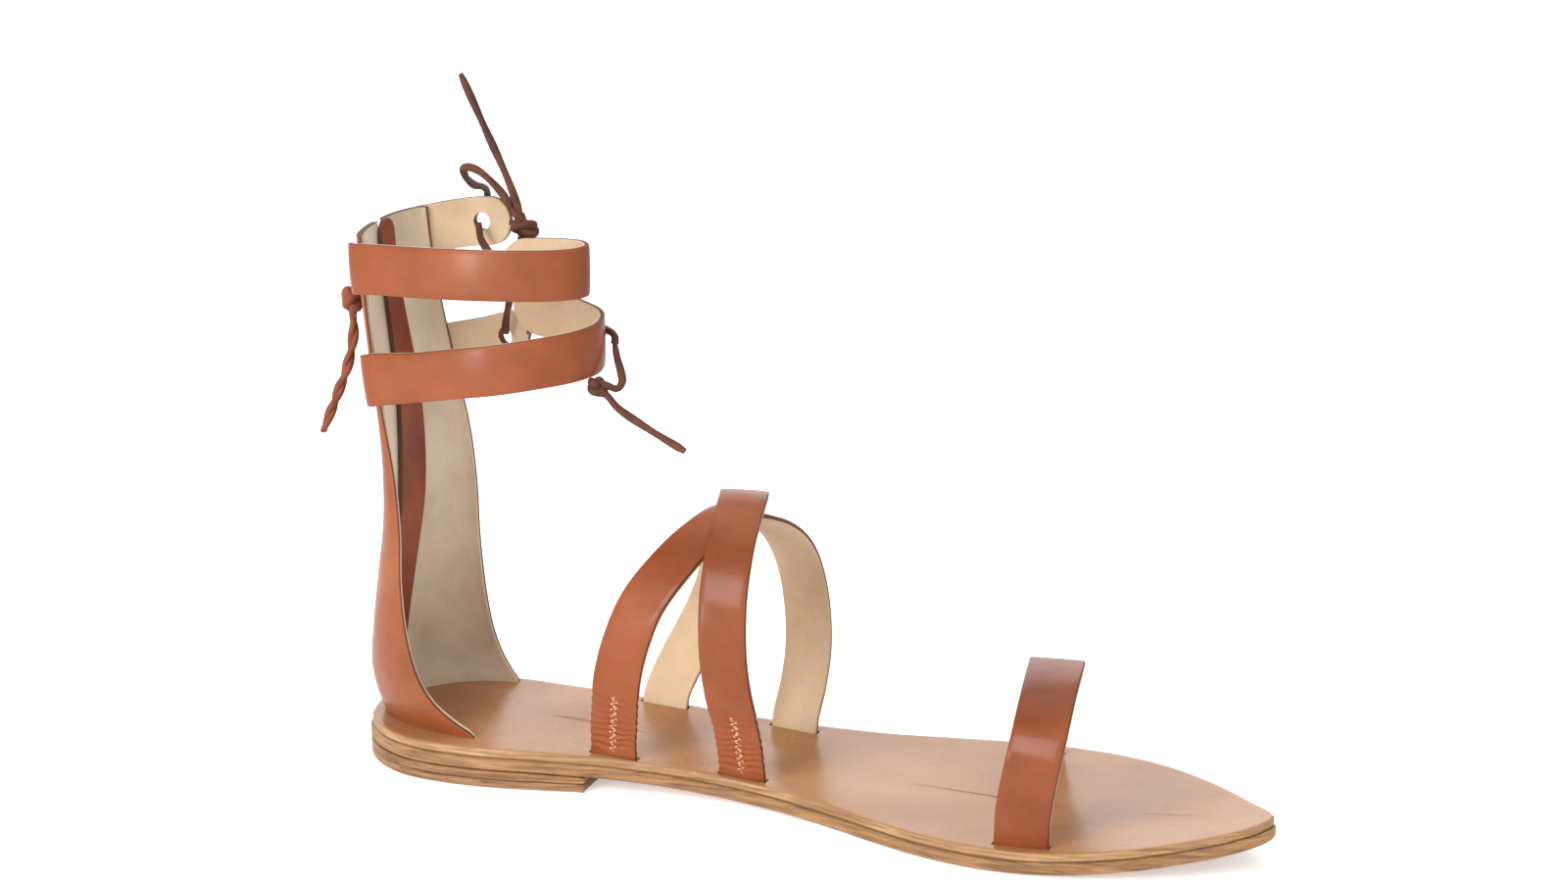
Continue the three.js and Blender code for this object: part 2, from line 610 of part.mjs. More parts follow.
// Shaft: two halves of the counter, the zip between them and the guard behind the zip.
add('counter_inner', counterHalfWall(-1), LOOKS.strap);
add('counter_outer', counterHalfWall(1), LOOKS.strap);
add('zip_chain', backStrip({
  halfWidth: ZIP_HALF_GAP - GAP, from: -1.5, to: -0.2, bottom: 14, top: 139, rows: 26,
}), LOOKS.tape);
add('zip_guard', backStrip({
  halfWidth: 8.0, halfAtTop: 4.2, from: -COUNTER_THICKNESS - 1.5, to: -COUNTER_THICKNESS - GAP,
  bottom: counterBase + INSOLE_THICKNESS + 0.4, top: 142.4, rows: 26, roundTop: 4,
}), LOOKS.guard);
const sliderZ = 136.6;
const sliderX = counterBack(sliderZ) - 2.3;
const sliderBody = new THREE.BoxGeometry(3.6, 4.6, 10).translate(sliderX, 0, sliderZ);
const sliderTab = new THREE.BoxGeometry(1.4, 3.8, 8.4).translate(sliderX - 1.6, 0, sliderZ - 8.6);
add('zip_slider', unite(sliderBody, sliderTab), LOOKS.slider);

// Straps over the foot.
const overInstep = { y: 2, z: 34 };
const strapA = footStrap(CROSS_STRAP_A, CROSS_STRAP_WIDTH, overInstep, 48);
const strapB = footStrap(CROSS_STRAP_B, CROSS_STRAP_WIDTH, overInstep, 48);
add('instep_cross', unite(strapA, strapB), LOOKS.strap);
add('toe_strap', footStrap(TOE_STRAP, TOE_STRAP_WIDTH, { y: -1, z: 14 }, 44), LOOKS.strap);

// Straps round the ankle.
add('ankle_strap_upper_inner', ankleStrap(UPPER_INNER_STRAP), LOOKS.strap);
add('ankle_strap_upper_outer', ankleStrap(UPPER_OUTER_STRAP), LOOKS.strap);
add('ankle_strap_lower_inner', ankleStrap(LOWER_INNER_STRAP), LOOKS.strap);
add('ankle_strap_lower_outer', ankleStrap(LOWER_OUTER_STRAP), LOOKS.strap);

// Laces: the crossing strands are one solid; the knots, loops and ends hang free.
const strandOne = cordAlong(CROSSING_ONE, LACE_DIAMETER, 14);
const strandTwo = cordAlong(CROSSING_TWO, LACE_DIAMETER, 26);
add('lace_crossing', unite(strandOne, strandTwo), LOOKS.lace);
add('lace_top_knot', knot(TOP_KNOT, [7.2, 5.4, 5.4]), LOOKS.lace);
add('lace_top_loop', cordAlong(TOP_LOOP, LACE_DIAMETER, 14), LOOKS.lace);
add('lace_top_end', cordAlong(TOP_END, LACE_DIAMETER, 10), LOOKS.lace);
add('lace_bottom_knot', knot(BOTTOM_KNOT, [5.4, 4.6, 5.0]), LOOKS.lace);
add('lace_bottom_loop', cordAlong(BOTTOM_LOOP, LACE_DIAMETER, 12), LOOKS.lace);
add('lace_bottom_end', cordAlong(BOTTOM_END, LACE_DIAMETER, 10), LOOKS.lace);
add('pull_knot', knot(PULL_KNOT, [5.6, 5.2, 6.4]), LOOKS.lace);
add('pull_thong', cordAlong(PULL_THONG, THONG_DIAMETER, 12), LOOKS.lace);

export default sandal;
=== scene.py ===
"""Looks for a flat leather gladiator sandal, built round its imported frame."""
import math

import bmesh
import bpy
import numpy as np
from mathutils import Matrix, Vector


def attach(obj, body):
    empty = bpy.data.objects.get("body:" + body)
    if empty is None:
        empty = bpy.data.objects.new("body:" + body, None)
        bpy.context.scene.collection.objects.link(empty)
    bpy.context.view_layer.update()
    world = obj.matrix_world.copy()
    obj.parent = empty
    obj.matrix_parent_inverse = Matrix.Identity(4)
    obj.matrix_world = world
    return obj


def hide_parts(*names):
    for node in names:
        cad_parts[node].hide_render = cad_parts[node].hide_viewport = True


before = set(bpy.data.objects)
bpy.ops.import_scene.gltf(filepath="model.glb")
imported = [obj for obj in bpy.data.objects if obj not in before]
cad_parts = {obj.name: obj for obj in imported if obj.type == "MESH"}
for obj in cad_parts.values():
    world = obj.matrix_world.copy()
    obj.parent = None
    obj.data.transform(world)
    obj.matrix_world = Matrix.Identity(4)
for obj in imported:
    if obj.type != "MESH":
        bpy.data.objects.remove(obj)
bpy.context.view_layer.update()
MM = 0.001

# ---------------------------------------------------------------------------
# Dimensions of the sandal, in millimetres, as its solids have them
# ---------------------------------------------------------------------------
GAP = 0.3
INSOLE_THICKNESS = 2.3
OUTSOLE_THICKNESS = 3.0
LIFT_HEIGHT = 4.5
BREAST_X = 38.5
ARCH_START_X = 18
BALL_X = 110
SPRING_X = 150
TOE_X = 219.5
TOE_SPRING = 8
STRAP = 1.8
CROSS_WIDTH = 12.6
TOE_WIDTH = 14.2
ANKLE_WIDTH = 13.2
COUNTER = 1.8
COUNTER_TOP_Z = 142
ZIP_HALF_GAP = 2.4
LACE = 2.2
THONG = 3.0
EYELET = 4.8
END_ROUND = 6.6
STRAP_START_TURN = {-1: 0.74, 1: 0.45}

# x, inner edge, outer edge
SOLE_OUTLINE = np.array([
    (-29.2, -2.0, 2.0), (-26.9, -11.2, 11.2), (-20.6, -20.0, 20.0), (-11.2, -26.0, 26.0),
    (0.0, -28.0, 28.0), (15.0, -27.3, 27.4), (30.0, -24.4, 26.8), (45.0, -21.0, 27.0),
    (60.0, -18.6, 27.4), (75.0, -18.0, 28.8), (90.0, -19.6, 31.4), (105.0, -24.0, 33.6),
    (120.0, -30.4, 36.2), (135.0, -35.8, 38.6), (150.0, -38.6, 39.8), (165.0, -38.6, 37.8),
    (179.0, -36.2, 31.6), (191.0, -32.6, 22.6), (202.0, -28.0, 11.4), (211.0, -23.4, 0.6),
    (217.0, -18.6, -6.8), (219.5, -14.4, -11.2),
])

# height, back line, inner front edge, outer front edge, half width, shift to the outer side
COUNTER_SECTIONS = np.array([
    (4.0, -25.8, 8.6, 1.0, 23.0, 2.2), (10.4, -26.2, 7.0, 0.6, 23.2, 2.2),
    (14.0, -27.0, 2.4, -2.4, 24.2, 1.9), (19.0, -28.0, -2.8, -5.4, 25.2, 1.4),
    (26.0, -28.4, -6.6, -7.8, 26.0, 0.8), (37.0, -26.8, -9.2, -9.6, 26.5, 0.2),
    (51.0, -24.4, -10.7, -10.7, 26.3, 0.0), (66.0, -22.0, -11.0, -11.0, 25.6, 0.0),
    (81.0, -21.4, -12.9, -12.0, 24.1, 0.0), (97.0, -22.0, -16.6, -14.6, 22.2, 0.0),
    (112.0, -24.0, -19.8, -17.0, 20.4, 0.0), (128.0, -26.2, -22.2, -19.4, 19.0, 0.0),
    (148.0, -27.6, -23.6, -21.2, 18.2, 0.0),
])

CROSS_A = [
    (45.0, -18.0, 8.6), (45.2, -18.6, 12.5), (47.0, -22.2, 22.0), (49.0, -25.4, 33.0),
    (52.4, -27.3, 44.5), (56.4, -26.0, 55.0), (61.4, -21.4, 63.2), (67.0, -12.6, 70.4),
    (72.4, -1.6, 74.2), (76.4, 8.6, 70.4), (79.0, 18.0, 63.8), (80.2, 26.0, 54.4),
    (81.0, 31.0, 41.0), (81.2, 31.8, 28.0), (80.6, 29.4, 17.5), (79.8, 26.0, 10.0),
    (79.6, 25.4, 6.2),
]
CROSS_B = [
    (79.4, -15.2, 6.2), (79.5, -15.8, 10.0), (79.8, -19.8, 20.0), (79.0, -24.4, 32.0),
    (78.5, -26.8, 44.0), (78.0, -25.0, 58.0), (77.2, -17.6, 69.4), (75.8, -8.0, 75.0),
    (73.4, 3.0, 77.4), (69.8, 13.4, 74.4), (65.0, 21.6, 65.0), (60.0, 27.0, 52.6),
    (56.0, 29.6, 41.0), (51.6, 30.2, 31.0), (46.6, 29.0, 21.0), (43.6, 25.4, 12.5),
    (43.2, 24.6, 8.6),
]
TOE = [
    (160.4, -34.4, 3.8), (160.6, -34.8, 8.0), (161.4, -36.6, 15.0), (162.8, -37.4, 23.0),
    (164.2, -36.6, 31.0), (164.6, -32.6, 37.6), (163.8, -24.6, 42.6), (162.0, -14.0, 44.6),
    (159.4, -2.0, 43.8), (156.0, 10.0, 39.6), (152.2, 20.6, 32.0), (148.4, 28.4, 22.4),
    (145.6, 32.6, 13.4), (144.4, 33.6, 7.6), (144.2, 33.8, 3.8),
]

# side, heights where the strap leaves the zip and the counter's edge, free route, eyelet from end
ANKLE_STRAPS = {
    "ankle_strap_upper_inner": (-1, 133.6, 134.0, [
        (-14.0, -21.6, 135.0), (-2.0, -23.8, 135.9), (14.0, -24.4, 136.8), (28.0, -22.6, 137.5),
        (35.2, -19.8, 137.9), (37.4, -16.6, 138.1), (35.4, -13.4, 138.1), (29.0, -11.2, 137.6),
        (20.0, -10.4, 136.8), (12.5, -10.0, 136.0)], 7.0),
    "ankle_strap_upper_outer": (1, 134.0, 135.6, [
        (-15.0, 20.6, 136.8), (-9.0, 21.6, 137.9), (-4.0, 21.2, 138.6), (1.8, 20.0, 139.0)], 8.6),
    "ankle_strap_lower_inner": (-1, 104.6, 105.6, [
        (-6.0, -23.2, 107.8), (4.0, -24.6, 110.0), (16.0, -24.8, 112.2), (28.0, -22.2, 114.6),
        (35.4, -17.8, 116.0), (38.2, -11.4, 116.8), (36.4, -4.6, 117.9), (30.0, -0.6, 118.9),
        (21.6, 1.8, 120.2), (9.6, 4.0, 121.6)], None),
    "ankle_strap_lower_outer": (1, 101.4, 103.0, [
        (-9.0, 22.6, 104.8), (-4.0, 21.8, 106.6), (1.0, 20.2, 108.4), (7.4, 17.4, 110.6)], 8.6),
}

CROSSING_ONE = [(15.6, -4.6, 140.6), (13.0, 0.5, 135.0), (7.8, 8.4, 126.4), (2.4, 15.6, 114.0),
                (1.4, 17.2, 110.0)]
CROSSING_TWO = [(-6.4, 18.8, 138.2), (-4.2, 15.8, 134.6), (7.8, 8.4, 126.4), (15.4, 7.2, 120.6),
                (23.2, 5.2, 119.2), (31.6, 2.7, 118.8), (38.4, -2.0, 118.8), (40.4, -4.0, 118.8)]
TOP_KNOT = (17.2, -5.4, 144.9)
TOP_END = [(15.9, -5.2, 148.4), (12.2, -4.4, 157.0), (5.6, -2.4, 168.6), (-2.3, 0.0, 182.4)]
TOP_LOOP = [(13.4, -4.6, 149.6), (8.2, -1.6, 153.6), (1.6, 1.0, 157.2), (-3.2, 3.4, 157.2),
            (-5.2, 8.4, 153.4), (-5.6, 15.0, 149.6), (-6.0, 21.0, 147.8), (-6.4, 24.8, 145.6),
            (-6.6, 25.4, 141.6)]
BOTTOM_KNOT = (39.9, -13.8, 107.3)
BOTTOM_END = [(42.5, -14.4, 105.6), (45.9, -14.6, 102.4), (52.9, -14.4, 98.2),
              (64.0, -14.0, 92.5)]
BOTTOM_LOOP = [(42.9, -13.2, 107.5), (44.9, -12.4, 106.7), (45.9, -11.4, 108.2),
               (45.0, -9.8, 110.4), (43.0, -7.4, 113.4), (41.5, -5.2, 116.4)]
TURN_IN_KNOT = [(41.3, -13.6, 108.0), (39.7, -13.9, 108.2), (38.6, -14.1, 107.2),
                (39.1, -14.3, 106.0), (40.7, -14.4, 105.8)]
PULL_KNOT = (-33.4, -2.4, 120.6)
PULL_THONG = [(-33.0, -2.8, 116.6), (-32.8, -3.2, 112.0), (-34.4, -3.6, 103.6),
              (-37.6, -4.0, 95.0), (-42.0, -4.0, 84.4)]


# ---------------------------------------------------------------------------
# Curves and surfaces
# ---------------------------------------------------------------------------
def distances(points):
    """How far along a line each of its points lies."""
    steps = np.linalg.norm(np.diff(np.array(points, float), axis=0), axis=1)
    return np.concatenate([[0], np.cumsum(steps)])


def at_distance(s, along, rows):
    """The row of a table, one for each point of a line, that belongs to a distance along it."""
    return np.array([np.interp(s, along, rows[:, k]) for k in range(3)])


def hermite(t, start, start_slope, end, end_slope):
    return ((2 * t**3 - 3 * t**2 + 1) * start + (t**3 - 2 * t**2 + t) * start_slope
            + (-2 * t**3 + 3 * t**2) * end + (t**3 - t**2) * end_slope)


def catmull(points, count):
    """Points evenly spaced along a centripetal Catmull-Rom curve through the given ones."""
    p = np.array(points, float)
    p = np.vstack([2 * p[0] - p[1], p, 2 * p[-1] - p[-2]])
    dense = []
    for i in range(1, len(p) - 2):
        p0, p1, p2, p3 = p[i - 1:i + 3]
        d0, d1, d2 = (max(np.linalg.norm(b - a), 1e-6) ** 0.5
                      for a, b in ((p0, p1), (p1, p2), (p2, p3)))
        m1 = ((p1 - p0) / d0 - (p2 - p0) / (d0 + d1) + (p2 - p1) / d1) * d1
        m2 = ((p2 - p1) / d1 - (p3 - p1) / (d1 + d2) + (p3 - p2) / d2) * d1
        t = np.linspace(0, 1, 60, endpoint=False)[:, None]
        dense.append(hermite(t, p1, m1, p2, m2))
    dense = np.vstack(dense + [p[-2][None]])
    along = distances(dense)
    at = np.linspace(0, along[-1], count)
    return np.stack([np.interp(at, along, dense[:, k]) for k in range(3)], axis=1)


def length_of(points):
    return float(np.linalg.norm(np.diff(np.array(points, float), axis=0), axis=1).sum())


def tangents(points):
    t = np.gradient(np.array(points, float), axis=0)
    return t / np.maximum(np.linalg.norm(t, axis=1, keepdims=True), 1e-9)


def unit(v):
    return v / max(np.linalg.norm(v), 1e-9)


def smoothstep(x, low, high):
    t = min(max((x - low) / (high - low), 0.0), 1.0)
    return t * t * (3 - 2 * t)


def column(table, key):
    """One column of a table as a smooth function of its first column."""
    xs, ys = table[:, 0], table[:, key]

    def at(x):
        i = int(np.clip(np.searchsorted(xs, x, side="right") - 1, 0, len(xs) - 2))
        h, g = max(i - 1, 0), min(i + 2, len(xs) - 1)
        span = xs[i + 1] - xs[i]
        t = min(max((x - xs[i]) / span, 0.0), 1.0)
        m1 = (ys[i + 1] - ys[h]) / (xs[i + 1] - xs[h]) * span
        m2 = (ys[g] - ys[i]) / (xs[g] - xs[i]) * span
        return hermite(t, ys[i], m1, ys[i + 1], m2)
    return at


counter_back, counter_half, counter_shift = (column(COUNTER_SECTIONS, k) for k in (1, 4, 5))
counter_front = {-1: column(COUNTER_SECTIONS, 2), 1: column(COUNTER_SECTIONS, 3)}


def counter_face(z, turn, side):
    angle = turn * math.pi / 2
    back = counter_back(z)
    x = back + (counter_front[side](z) - back) * (1 - math.cos(angle))
    y = side * counter_half(z) * math.sin(angle) + counter_shift(z) * math.sin(angle) ** 2
    return np.array([x, y, z])


def off_counter(z, turn, side, offset):
    step = 0.01
    low = max(turn - step, 0)
    along = counter_face(z, low + 2 * step, side) - counter_face(z, low, side)
    up = counter_face(z + 0.5, turn, side) - counter_face(z - 0.5, turn, side)
    out = unit(np.cross(along, up))
    if out[1] * side < 0 or (abs(out[1]) < 1e-6 and out[0] > 0):
        out = -out
    return counter_face(z, turn, side) + out * offset


def turn_at(z, y):
    return math.asin(min(1.0, y / counter_half(z))) / (math.pi / 2)


def underside_z(x):
    fall = smoothstep(x, ARCH_START_X, BALL_X)
    toe = min(max((x - SPRING_X) / (TOE_X - SPRING_X), 0.0), 1.0)
    return (LIFT_HEIGHT + GAP) * (1 - fall) + TOE_SPRING * toe * toe


def insole_bottom_z(x):
    return underside_z(x) + OUTSOLE_THICKNESS + GAP


def insole_top_z(x):
    return insole_bottom_z(x) + INSOLE_THICKNESS


# ---------------------------------------------------------------------------
# Mesh helpers
# ---------------------------------------------------------------------------
def add_object(name, data):
    obj = bpy.data.objects.new(name, data)
    bpy.context.scene.collection.objects.link(obj)
    return obj


def add_cutter(name, bm, location):
    """A closed body to cut with, from a bmesh that is used up."""
    mesh = bpy.data.meshes.new(name)
    bm.to_mesh(mesh)
    bm.free()
    cutter = add_object(name, mesh)
    cutter.location = Vector(location) * MM
    return cutter


def make_mesh(name, points, faces, materials, face_slots=None, uvs=None, sharp=35):
    mesh = bpy.data.meshes.new(name)
    mesh.from_pydata([tuple(float(c) * MM for c in p) for p in points], [], faces)
    for material in materials:
        mesh.materials.append(material)
    if face_slots is not None:
        mesh.polygons.foreach_set("material_index", face_slots)
    if uvs is not None:
        layer = mesh.uv_layers.new(name="UVMap")
        flat = [c for loop in mesh.loops for c in uvs[loop.vertex_index]]
        layer.data.foreach_set("uv", flat)
    bm = bmesh.new()
    bm.from_mesh(mesh)
    bmesh.ops.recalc_face_normals(bm, faces=bm.faces)
    bm.to_mesh(mesh)
    bm.free()
    mesh.shade_smooth()
    mesh.set_sharp_from_angle(angle=math.radians(sharp))
    return add_object(name, mesh)


def ring_faces(count, size, base=0):
    """The quads between count rings of size points each, the first of them at point base."""
    faces = []
    for low in range(base, base + (count - 1) * size, size):
        for j in range(size):
            a, b = low + j, low + (j + 1) % size
            faces.append((a, b, b + size, a + size))
    return faces


def end_faces(count, size, base=0):
    """The two faces that close such a row of rings."""
    last = base + (count - 1) * size
    return [tuple(range(base, base + size)), tuple(reversed(range(last, last + size)))]


def piece(obj, *nodes, slot=None):
    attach(obj, "root")
    if nodes:
        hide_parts(*nodes)
    return obj


def swept(name, rings, ring_slots, materials, uvs=None, sharp=35):
    """A closed body from rings of equal length; ring_slots names each ring edge's material."""
    size, count = len(rings[0]), len(rings)
    points = [p for ring in rings for p in ring]
    faces = ring_faces(count, size) + end_faces(count, size)
    slots = list(ring_slots) * (count - 1) + [1, 1]
    return make_mesh(name, points, faces, materials, slots, uvs, sharp)


def section(width, thickness, lining, across=10):
    """A strap's section: (distance across, height above the inner face, material) all round.

    Materials: 0 outer leather, 1 cut edge, 2 lining's edge, 3 inner face.
    """
    h = width / 2
    step = lining + 0.04
    right = [(h - 0.34, thickness, 0), (h - 0.12, thickness - 0.07, 0), (h - 0.02, thickness - 0.26, 1),
             (h, thickness - 0.5, 1), (h - 0.02, step + 0.1, 1), (h - 0.14, step, 2),
             (h - 0.04, lining - 0.08, 2), (h - 0.06, 0.16, 2), (h - 0.26, 0.0, 3)]
    inner = np.linspace(h - 0.26, -h + 0.26, across)[1:-1]
    outer = np.linspace(-h + 0.34, h - 0.34, across)[1:-1]
    ring = right + [(u, 0.0, 3) for u in inner]
    ring += [(-u, d, min(slot, 2)) for u, d, slot in reversed(right)]
    ring += [(u, thickness, 0) for u in outer]
    return ring


def thread_run(name, points, normals, pitch, stitch, radius, material):
    """Stitches along a line: short rounded dashes, each dipping into the leather at its ends."""
    path, normals = np.array(points, float), np.array(normals, float)
    along = distances(path)
    verts, faces = [], []
    steps, sides = 5, 6
    s = pitch * 0.5
    while s + stitch < along[-1]:
        base = len(verts)
        for i in range(steps + 1):
            share = i / steps
            here = s + stitch * share
            n = unit(at_distance(here, along, normals))
            t = unit(at_distance(min(here + 0.2, along[-1]), along, path)
                     - at_distance(max(here - 0.2, 0), along, path))
            b = np.cross(n, t)
            lift = math.sin(math.pi * share) * radius * 1.1 - radius * 0.45
            fat = radius * (0.55 + 0.45 * math.sin(math.pi * share) ** 0.5)
            c = at_distance(here, along, path) + n * lift
            for j in range(sides):
                a = j / sides * 2 * math.pi
                verts.append(c + n * math.cos(a) * fat + b * math.sin(a) * fat)
        faces += ring_faces(steps + 1, sides, base) + end_faces(steps + 1, sides, base)
        s += pitch
    return make_mesh(name, verts, faces, [material], sharp=60)


def tube_rings(path, radius, sides=14, squash=1.0, twist=0.0, ends=1.0):
    """Rings of a cord: round, or flattened by squash and turned steadily along its length."""
    path = np.array(path, float)
    t = tangents(path)
    normal = unit(np.cross(t[0], [0.31, 0.87, 0.38]))
    along = distances(path)
    rings = []
    for i, c in enumerate(path):
        normal = unit(normal - t[i] * normal.dot(t[i]))
        side = np.cross(t[i], normal)
        turn = twist * along[i]
        near_end = min(along[i], along[-1] - along[i])
        r = radius * (ends + (1 - ends) * min(1.0, near_end / (2 * radius)))
        ring = []
        for j in range(sides):
            a = j / sides * 2 * math.pi
            u, v = math.cos(a) * r, math.sin(a) * r * squash
            u, v = u * math.cos(turn) - v * math.sin(turn), u * math.sin(turn) + v * math.cos(turn)
            ring.append(c + normal * u + side * v)
        rings.append(ring)
    return rings


def tube(name, path, radius, material, **shape):
    rings = tube_rings(path, radius, **shape)
    size = len(rings[0])
    uvs = []
    total = length_of(path)
    for i in range(len(rings)):
        uvs += [(total * MM * i / (len(rings) - 1), j / size) for j in range(size)]
    return swept(name, rings, [0] * size, [material, material], uvs, sharp=50)


def apply_modifiers(obj):
    bpy.context.view_layer.update()
    deps = bpy.context.evaluated_depsgraph_get()
    mesh = bpy.data.meshes.new_from_object(obj.evaluated_get(deps))
    obj.modifiers.clear()
    obj.data = mesh


def cut(obj, cutters):
    """Subtracts closed bodies from a piece and removes them."""
    for cutter in cutters:
        modifier = obj.modifiers.new("cut", "BOOLEAN")
        modifier.operation = "DIFFERENCE"
        modifier.solver = "EXACT"
        modifier.object = cutter
    apply_modifiers(obj)
    obj.data.set_sharp_from_angle(angle=math.radians(35))
    for cutter in cutters:
        bpy.data.objects.remove(cutter)


# ---------------------------------------------------------------------------
# Materials
# ---------------------------------------------------------------------------
def rgb(r, g, b):
    return tuple(c / 12.92 if c <= 0.04045 else ((c + 0.055) / 1.055) ** 2.4
                 for c in (r / 255, g / 255, b / 255)) + (1.0,)


class Shader:
    """A principled material with short helpers for its node tree."""

    def __init__(self, name, roughness=0.5, **sockets):
        self.material = bpy.data.materials.new(name)
        self.material.use_nodes = True
        self.tree = self.material.node_tree
        self.bsdf = self.tree.nodes["Principled BSDF"]
        self.bsdf.inputs["Roughness"].default_value = roughness
        for socket, value in sockets.items():
            self.bsdf.inputs[socket.replace("_", " ")].default_value = value
        self.coords = self.tree.nodes.new("ShaderNodeTexCoord")
        self.bumps = None

    def link(self, a, b):
        self.tree.links.new(a, b)

    def mapped(self, scale):
        node = self.tree.nodes.new("ShaderNodeMapping")
        node.inputs["Scale"].default_value = scale if hasattr(scale, "__len__") else (scale,) * 3
        self.link(self.coords.outputs["Object"], node.inputs["Vector"])
        return node.outputs["Vector"]

    def noise(self, scale, detail=4.0, rough=0.55, distortion=0.0):
        node = self.tree.nodes.new("ShaderNodeTexNoise")
        node.inputs["Scale"].default_value = 1.0
        node.inputs["Detail"].default_value = detail
        node.inputs["Roughness"].default_value = rough
        node.inputs["Distortion"].default_value = distortion
        self.link(self.mapped(scale), node.inputs["Vector"])
        return node.outputs["Fac"]

    def cells(self, scale):
        node = self.tree.nodes.new("ShaderNodeTexVoronoi")
        node.feature = "F1"
        node.inputs["Scale"].default_value = 1.0
        self.link(self.mapped(scale), node.inputs["Vector"])
        return node.outputs["Distance"]

    def ramp(self, fac, stops):
        node = self.tree.nodes.new("ShaderNodeValToRGB")
        ramp = node.color_ramp
        while len(ramp.elements) < len(stops):
            ramp.elements.new(0.5)
        for element, (at, colour) in zip(ramp.elements, stops):
            element.position, element.color = at, colour
        self.link(fac, node.inputs["Fac"])
        return node.outputs["Color"]

    def mix(self, fac, a, b):
        node = self.tree.nodes.new("ShaderNodeMix")
        node.data_type = "RGBA"
        for socket, value in ((node.inputs[0], fac), (node.inputs[6], a), (node.inputs[7], b)):
            if isinstance(value, (int, float, tuple)):
                socket.default_value = value
            else:
                self.link(value, socket)
        return node.outputs[2]

    def range(self, fac, low, high, to_low=0.0, to_high=1.0):
        node = self.tree.nodes.new("ShaderNodeMapRange")
        for k, value in zip((1, 2, 3, 4), (low, high, to_low, to_high)):
            node.inputs[k].default_value = value
        self.link(fac, node.inputs[0])
        return node.outputs[0]

    def bump(self, height, strength, distance):
        node = self.tree.nodes.new("ShaderNodeBump")
        node.inputs["Strength"].default_value = strength
        node.inputs["Distance"].default_value = distance
        self.link(height, node.inputs["Height"])
        if self.bumps:
            self.link(self.bumps, node.inputs["Normal"])
        self.bumps = node.outputs["Normal"]
        self.link(self.bumps, self.bsdf.inputs["Normal"])

    def colour(self, value):
        self.link(value, self.bsdf.inputs["Base Color"])

    def rough(self, value):
        self.link(value, self.bsdf.inputs["Roughness"])


def tan_leather(name, light, base, dark, roughness, coat=0.22):
    """Smooth polished leather: cloudy dye, fine pores and a few soft scuffs."""
    s = Shader(name, roughness, Coat_Weight=coat, Coat_Roughness=0.2, Specular_IOR_Level=0.2)
    cloud = s.noise(34, 4)
    tone = s.ramp(cloud, [(0.3, dark), (0.52, base), (0.75, light)])
    mottle = s.noise(260, 5, 0.6)
    tone = s.mix(s.range(mottle, 0.35, 0.75, 0.0, 0.22), tone, dark)
    pores = s.cells(1500)
    tone = s.mix(s.range(pores, 0.0, 0.22, 0.16, 0.0), tone, dark)
    s.colour(tone)
    s.rough(s.range(s.noise(90, 4), 0.3, 0.7, roughness - 0.05, roughness + 0.09))
    s.bump(s.noise((420, 420, 420), 6, 0.6), 0.10, 0.0006)
    s.bump(pores, 0.10, 0.0004)
    return s.material


def raw_hide(name, light, base, dark, roughness=0.86, scale=300, sheen=0.25):
    """The flesh side of leather: napped and cloudy, with short fibres."""
    s = Shader(name, roughness, Sheen_Weight=sheen, Sheen_Roughness=0.5)
    tone = s.ramp(s.noise(42, 4), [(0.3, dark), (0.5, base), (0.72, light)])
    fibre = s.noise((scale * 3, scale * 3, scale), 6, 0.7, distortion=0.6)
    tone = s.mix(s.range(fibre, 0.3, 0.75, 0.0, 0.38), tone, dark)
    s.colour(tone)
    s.bump(fibre, 0.28, 0.0006)
    s.bump(s.noise(scale * 5, 3), 0.15, 0.0003)
    return s.material


STRAP_OUTER = tan_leather("strap_leather", rgb(144, 74, 34), rgb(131, 65, 28), rgb(112, 51, 20), 0.5)
COUNTER_OUTER = tan_leather("counter_leather", rgb(152, 86, 50), rgb(139, 75, 41), rgb(120, 61, 31), 0.5)
CUT_EDGE = raw_hide("cut_edge", rgb(112, 62, 38), rgb(90, 47, 29), rgb(68, 34, 21), 0.7, 500, 0.0)
LINING = raw_hide("lining_cream", rgb(214, 190, 160), rgb(203, 177, 147), rgb(186, 156, 125), 0.82)
LINING_EDGE = raw_hide("lining_edge", rgb(212, 186, 156), rgb(198, 170, 140), rgb(172, 140, 108), 0.85)
SUEDE = raw_hide("shaft_suede", rgb(214, 197, 174), rgb(201, 183, 158), rgb(180, 160, 134), 0.95, 260, 0.4)
GUARD = tan_leather("guard_leather", rgb(146, 72, 34), rgb(126, 57, 25), rgb(100, 42, 18), 0.6, 0.0)


def insole_leather():
    s = Shader("insole_leather", 0.34, Coat_Weight=0.06, Coat_Roughness=0.16, Specular_IOR_Level=0.14)
    tone = s.ramp(s.noise((14, 26, 20), 4), [(0.28, rgb(148, 100, 64)), (0.5, rgb(163, 116, 79)),
                                             (0.74, rgb(177, 133, 97))])
    grain = s.noise((500, 900, 700), 6, 0.65)
    tone = s.mix(s.range(grain, 0.38, 0.78, 0.0, 0.3), tone, rgb(134, 86, 52))
    tone = s.mix(s.range(s.cells(1300), 0.0, 0.2, 0.07, 0.0), tone, rgb(112, 70, 42))
    s.colour(tone)
    s.rough(s.range(s.noise((60, 30, 40), 5), 0.3, 0.75, 0.2, 0.36))
    s.bump(grain, 0.03, 0.0005)
    s.bump(s.noise((30, 30, 30), 2), 0.1, 0.002)
    return s.material


